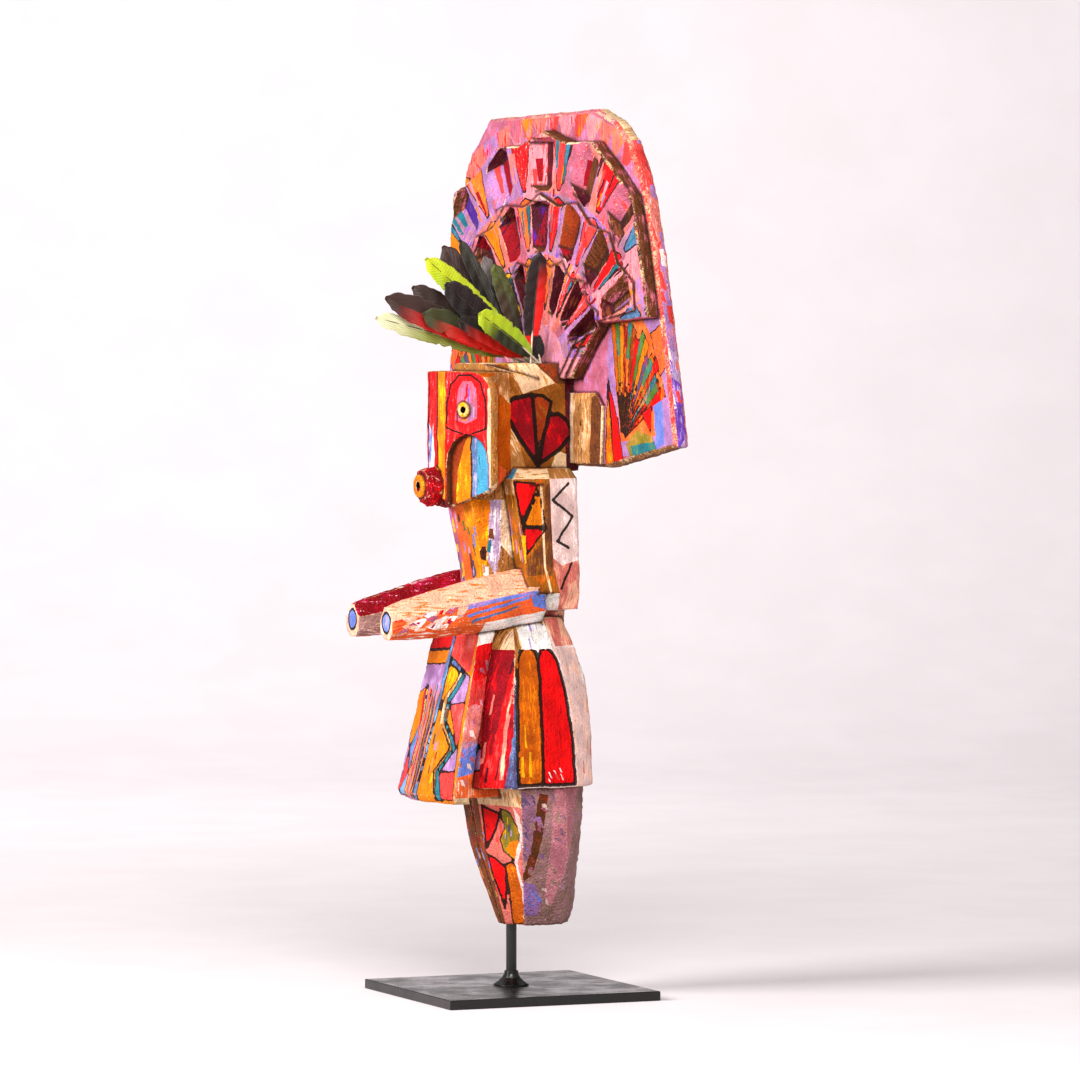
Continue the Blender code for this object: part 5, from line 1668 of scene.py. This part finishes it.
# %% Stand finishes
def steel_finish(name, code, rough, peel_mm, depth_mm, coat):
    """Black paint on steel: a dark base, a slightly uneven gloss and a fine bump."""
    material, tree, shader = new_material(name, rough)
    shader.inputs["Coat Weight"].default_value = coat
    shader.inputs["Coat Roughness"].default_value = 0.22
    shader.inputs["Specular IOR Level"].default_value = 0.6
    place_mm = in_mm(tree)
    peel = grain(tree, place_mm, 1 / peel_mm, 2.0)
    smudge = grain(tree, place_mm, 1 / 24.0, 3.0)
    dust = grain(tree, place_mm, 1 / 1.2, 2.0)
    base = blend(tree, steps(tree, smudge, 0.35, 0.7, 0.0, 0.35), (*linear(code), 1.0),
        (*linear("#262223"), 1.0))
    base = blend(tree, steps(tree, dust, 0.68, 0.76, 0.0, 0.25), base, (*linear("#8C8480"), 1.0))
    tree.links.new(base, shader.inputs["Base Color"])
    tree.links.new(steps(tree, smudge, 0.3, 0.7, rough - 0.06, rough + 0.1), shader.inputs["Roughness"])
    bump = add(tree, "ShaderNodeBump", {"Strength": 0.5, "Distance": depth_mm / 1000}, {"Height": peel})
    tree.links.new(bump.outputs[0], shader.inputs["Normal"])
    return material


plate_finish = steel_finish("satin_black_painted_steel", "#100E0F", 0.24, 0.9, 0.05, 0.0)
rod_finish = steel_finish("gloss_black_painted_steel", "#0B0A0A", 0.24, 2.2, 0.12, 0.1)
for name, finish in (("base_plate", plate_finish), ("stem_rod", rod_finish), ("weld_bead", rod_finish)):
    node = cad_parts[name]
    node.data.materials.clear()
    node.data.materials.append(finish)
print("stand finished")

# %% [markdown]
# The figure stands in a studio on a white sweep: a floor that curves up into a wall, lit
# softly from the figure's front.

# %% Sweep
SWEEP_FRONT = -6.0
SWEEP_BEND = 2.2
SWEEP_RADIUS = 1.6
SWEEP_STEPS = 9  # of the twelve steps of a full quarter turn; the paper ends there, out of view
SWEEP_HALF = 7.0
camera_turn = math.radians(67.0)  # from the figure's front round to its left
profile = [(SWEEP_FRONT, 0.0), (SWEEP_BEND, 0.0)]
for i in range(1, SWEEP_STEPS + 1):
    turn = math.pi / 2 * i / 12
    profile.append((SWEEP_BEND + SWEEP_RADIUS * math.sin(turn), SWEEP_RADIUS * (1 - math.cos(turn))))
away = Vector((-math.sin(camera_turn), math.cos(camera_turn), 0))
along = Vector((math.cos(camera_turn), math.sin(camera_turn), 0))
verts = []
for distance, height in profile:
    for side in (-1, 1):
        verts.append(away * distance + along * (side * SWEEP_HALF) + Vector((0, 0, height)))
faces = [(2 * i, 2 * i + 1, 2 * i + 3, 2 * i + 2) for i in range(len(profile) - 1)]
sweep_mesh = bpy.data.meshes.new("sweep")
sweep_mesh.from_pydata(verts, [], faces)
sweep_mesh.polygons.foreach_set("use_smooth", [True] * len(faces))
sweep = bpy.data.objects.new("sweep", sweep_mesh)
bpy.context.scene.collection.objects.link(sweep)
sheet, tree, shader = new_material("matt_white_paper_sweep", 0.9)
place = add(tree, "ShaderNodeTexCoord").outputs["Object"]
fibre = grain(tree, place, 9.0, 3.0)
tree.links.new(blend(tree, steps(tree, fibre, 0.3, 0.7, 0.0, 1.0), (*linear("#D8D0D3"), 1.0),
                     (*linear("#DBD4D7"), 1.0)), shader.inputs["Base Color"])
sweep_mesh.materials.append(sheet)
print("sweep has", len(faces), "faces")

# %% [markdown]
# Two large soft boxes stand at the figure's front and left, as in a photographer's studio: the
# key is close and warm, the fill is wider. A third is aimed at the paper behind.

# %% Light
scene = bpy.context.scene
world = bpy.data.worlds.new("studio")
scene.world = world
world.use_nodes = True
sky = world.node_tree.nodes["Background"]
sky.inputs["Color"].default_value = (1.0, 0.985, 0.985, 1.0)
sky.inputs["Strength"].default_value = 0.36


def soft_light(name, place, target, size, power, tint=(1.0, 1.0, 1.0)):
    """A square soft box that faces a point."""
    lamp = bpy.data.lights.new(name, "AREA")
    lamp.size, lamp.energy, lamp.color = size, power, tint
    made = bpy.data.objects.new(name, lamp)
    made.location = place
    made.rotation_euler = (Vector(target) - Vector(place)).to_track_quat("-Z", "Y").to_euler()
    bpy.context.scene.collection.objects.link(made)
    return made


soft_light("key", (0.1, -2.5, 1.3), (0, 0, 0.35), 1.1, 88.0, (1.0, 0.985, 0.96))
soft_light("fill", (2.4, -0.9, 2.0), (0, 0, 0.35), 1.6, 80.0, (1.0, 0.99, 0.97))
wall_light = away * 1.5 + along * -0.5 + Vector((0, 0, 1.9))
soft_light("wall_light", wall_light, wall_light + away * 2.2 + Vector((0, 0, -1.3)), 1.4, 30.0)
scene.view_settings.view_transform = "Standard"
scene.view_settings.look = "Medium High Contrast"
print("lights set")

# %% [markdown]
# A long lens from well back keeps the board's edges nearly parallel. It stands a little above
# the figure's middle and looks slightly down at it.

# %% Camera
CAMERA_BACK = 4.663
CAMERA_UP = 0.4962
AIM_UP = 0.333
AIM_RIGHT = 0.021
lens = bpy.data.cameras.new("camera")
lens.sensor_width = 36.0
lens.lens = 212.9
lens.clip_start, lens.clip_end = 0.1, 40.0
camera = bpy.data.objects.new("camera", lens)
camera.location = -away * CAMERA_BACK + Vector((0, 0, CAMERA_UP))
aim = along * AIM_RIGHT + Vector((0, 0, AIM_UP))
camera.rotation_euler = (aim - camera.location).to_track_quat("-Z", "Y").to_euler()
scene.collection.objects.link(camera)
scene.camera = camera
print("the camera stands", CAMERA_BACK, "m back and", CAMERA_UP, "m up")

# %% [markdown]
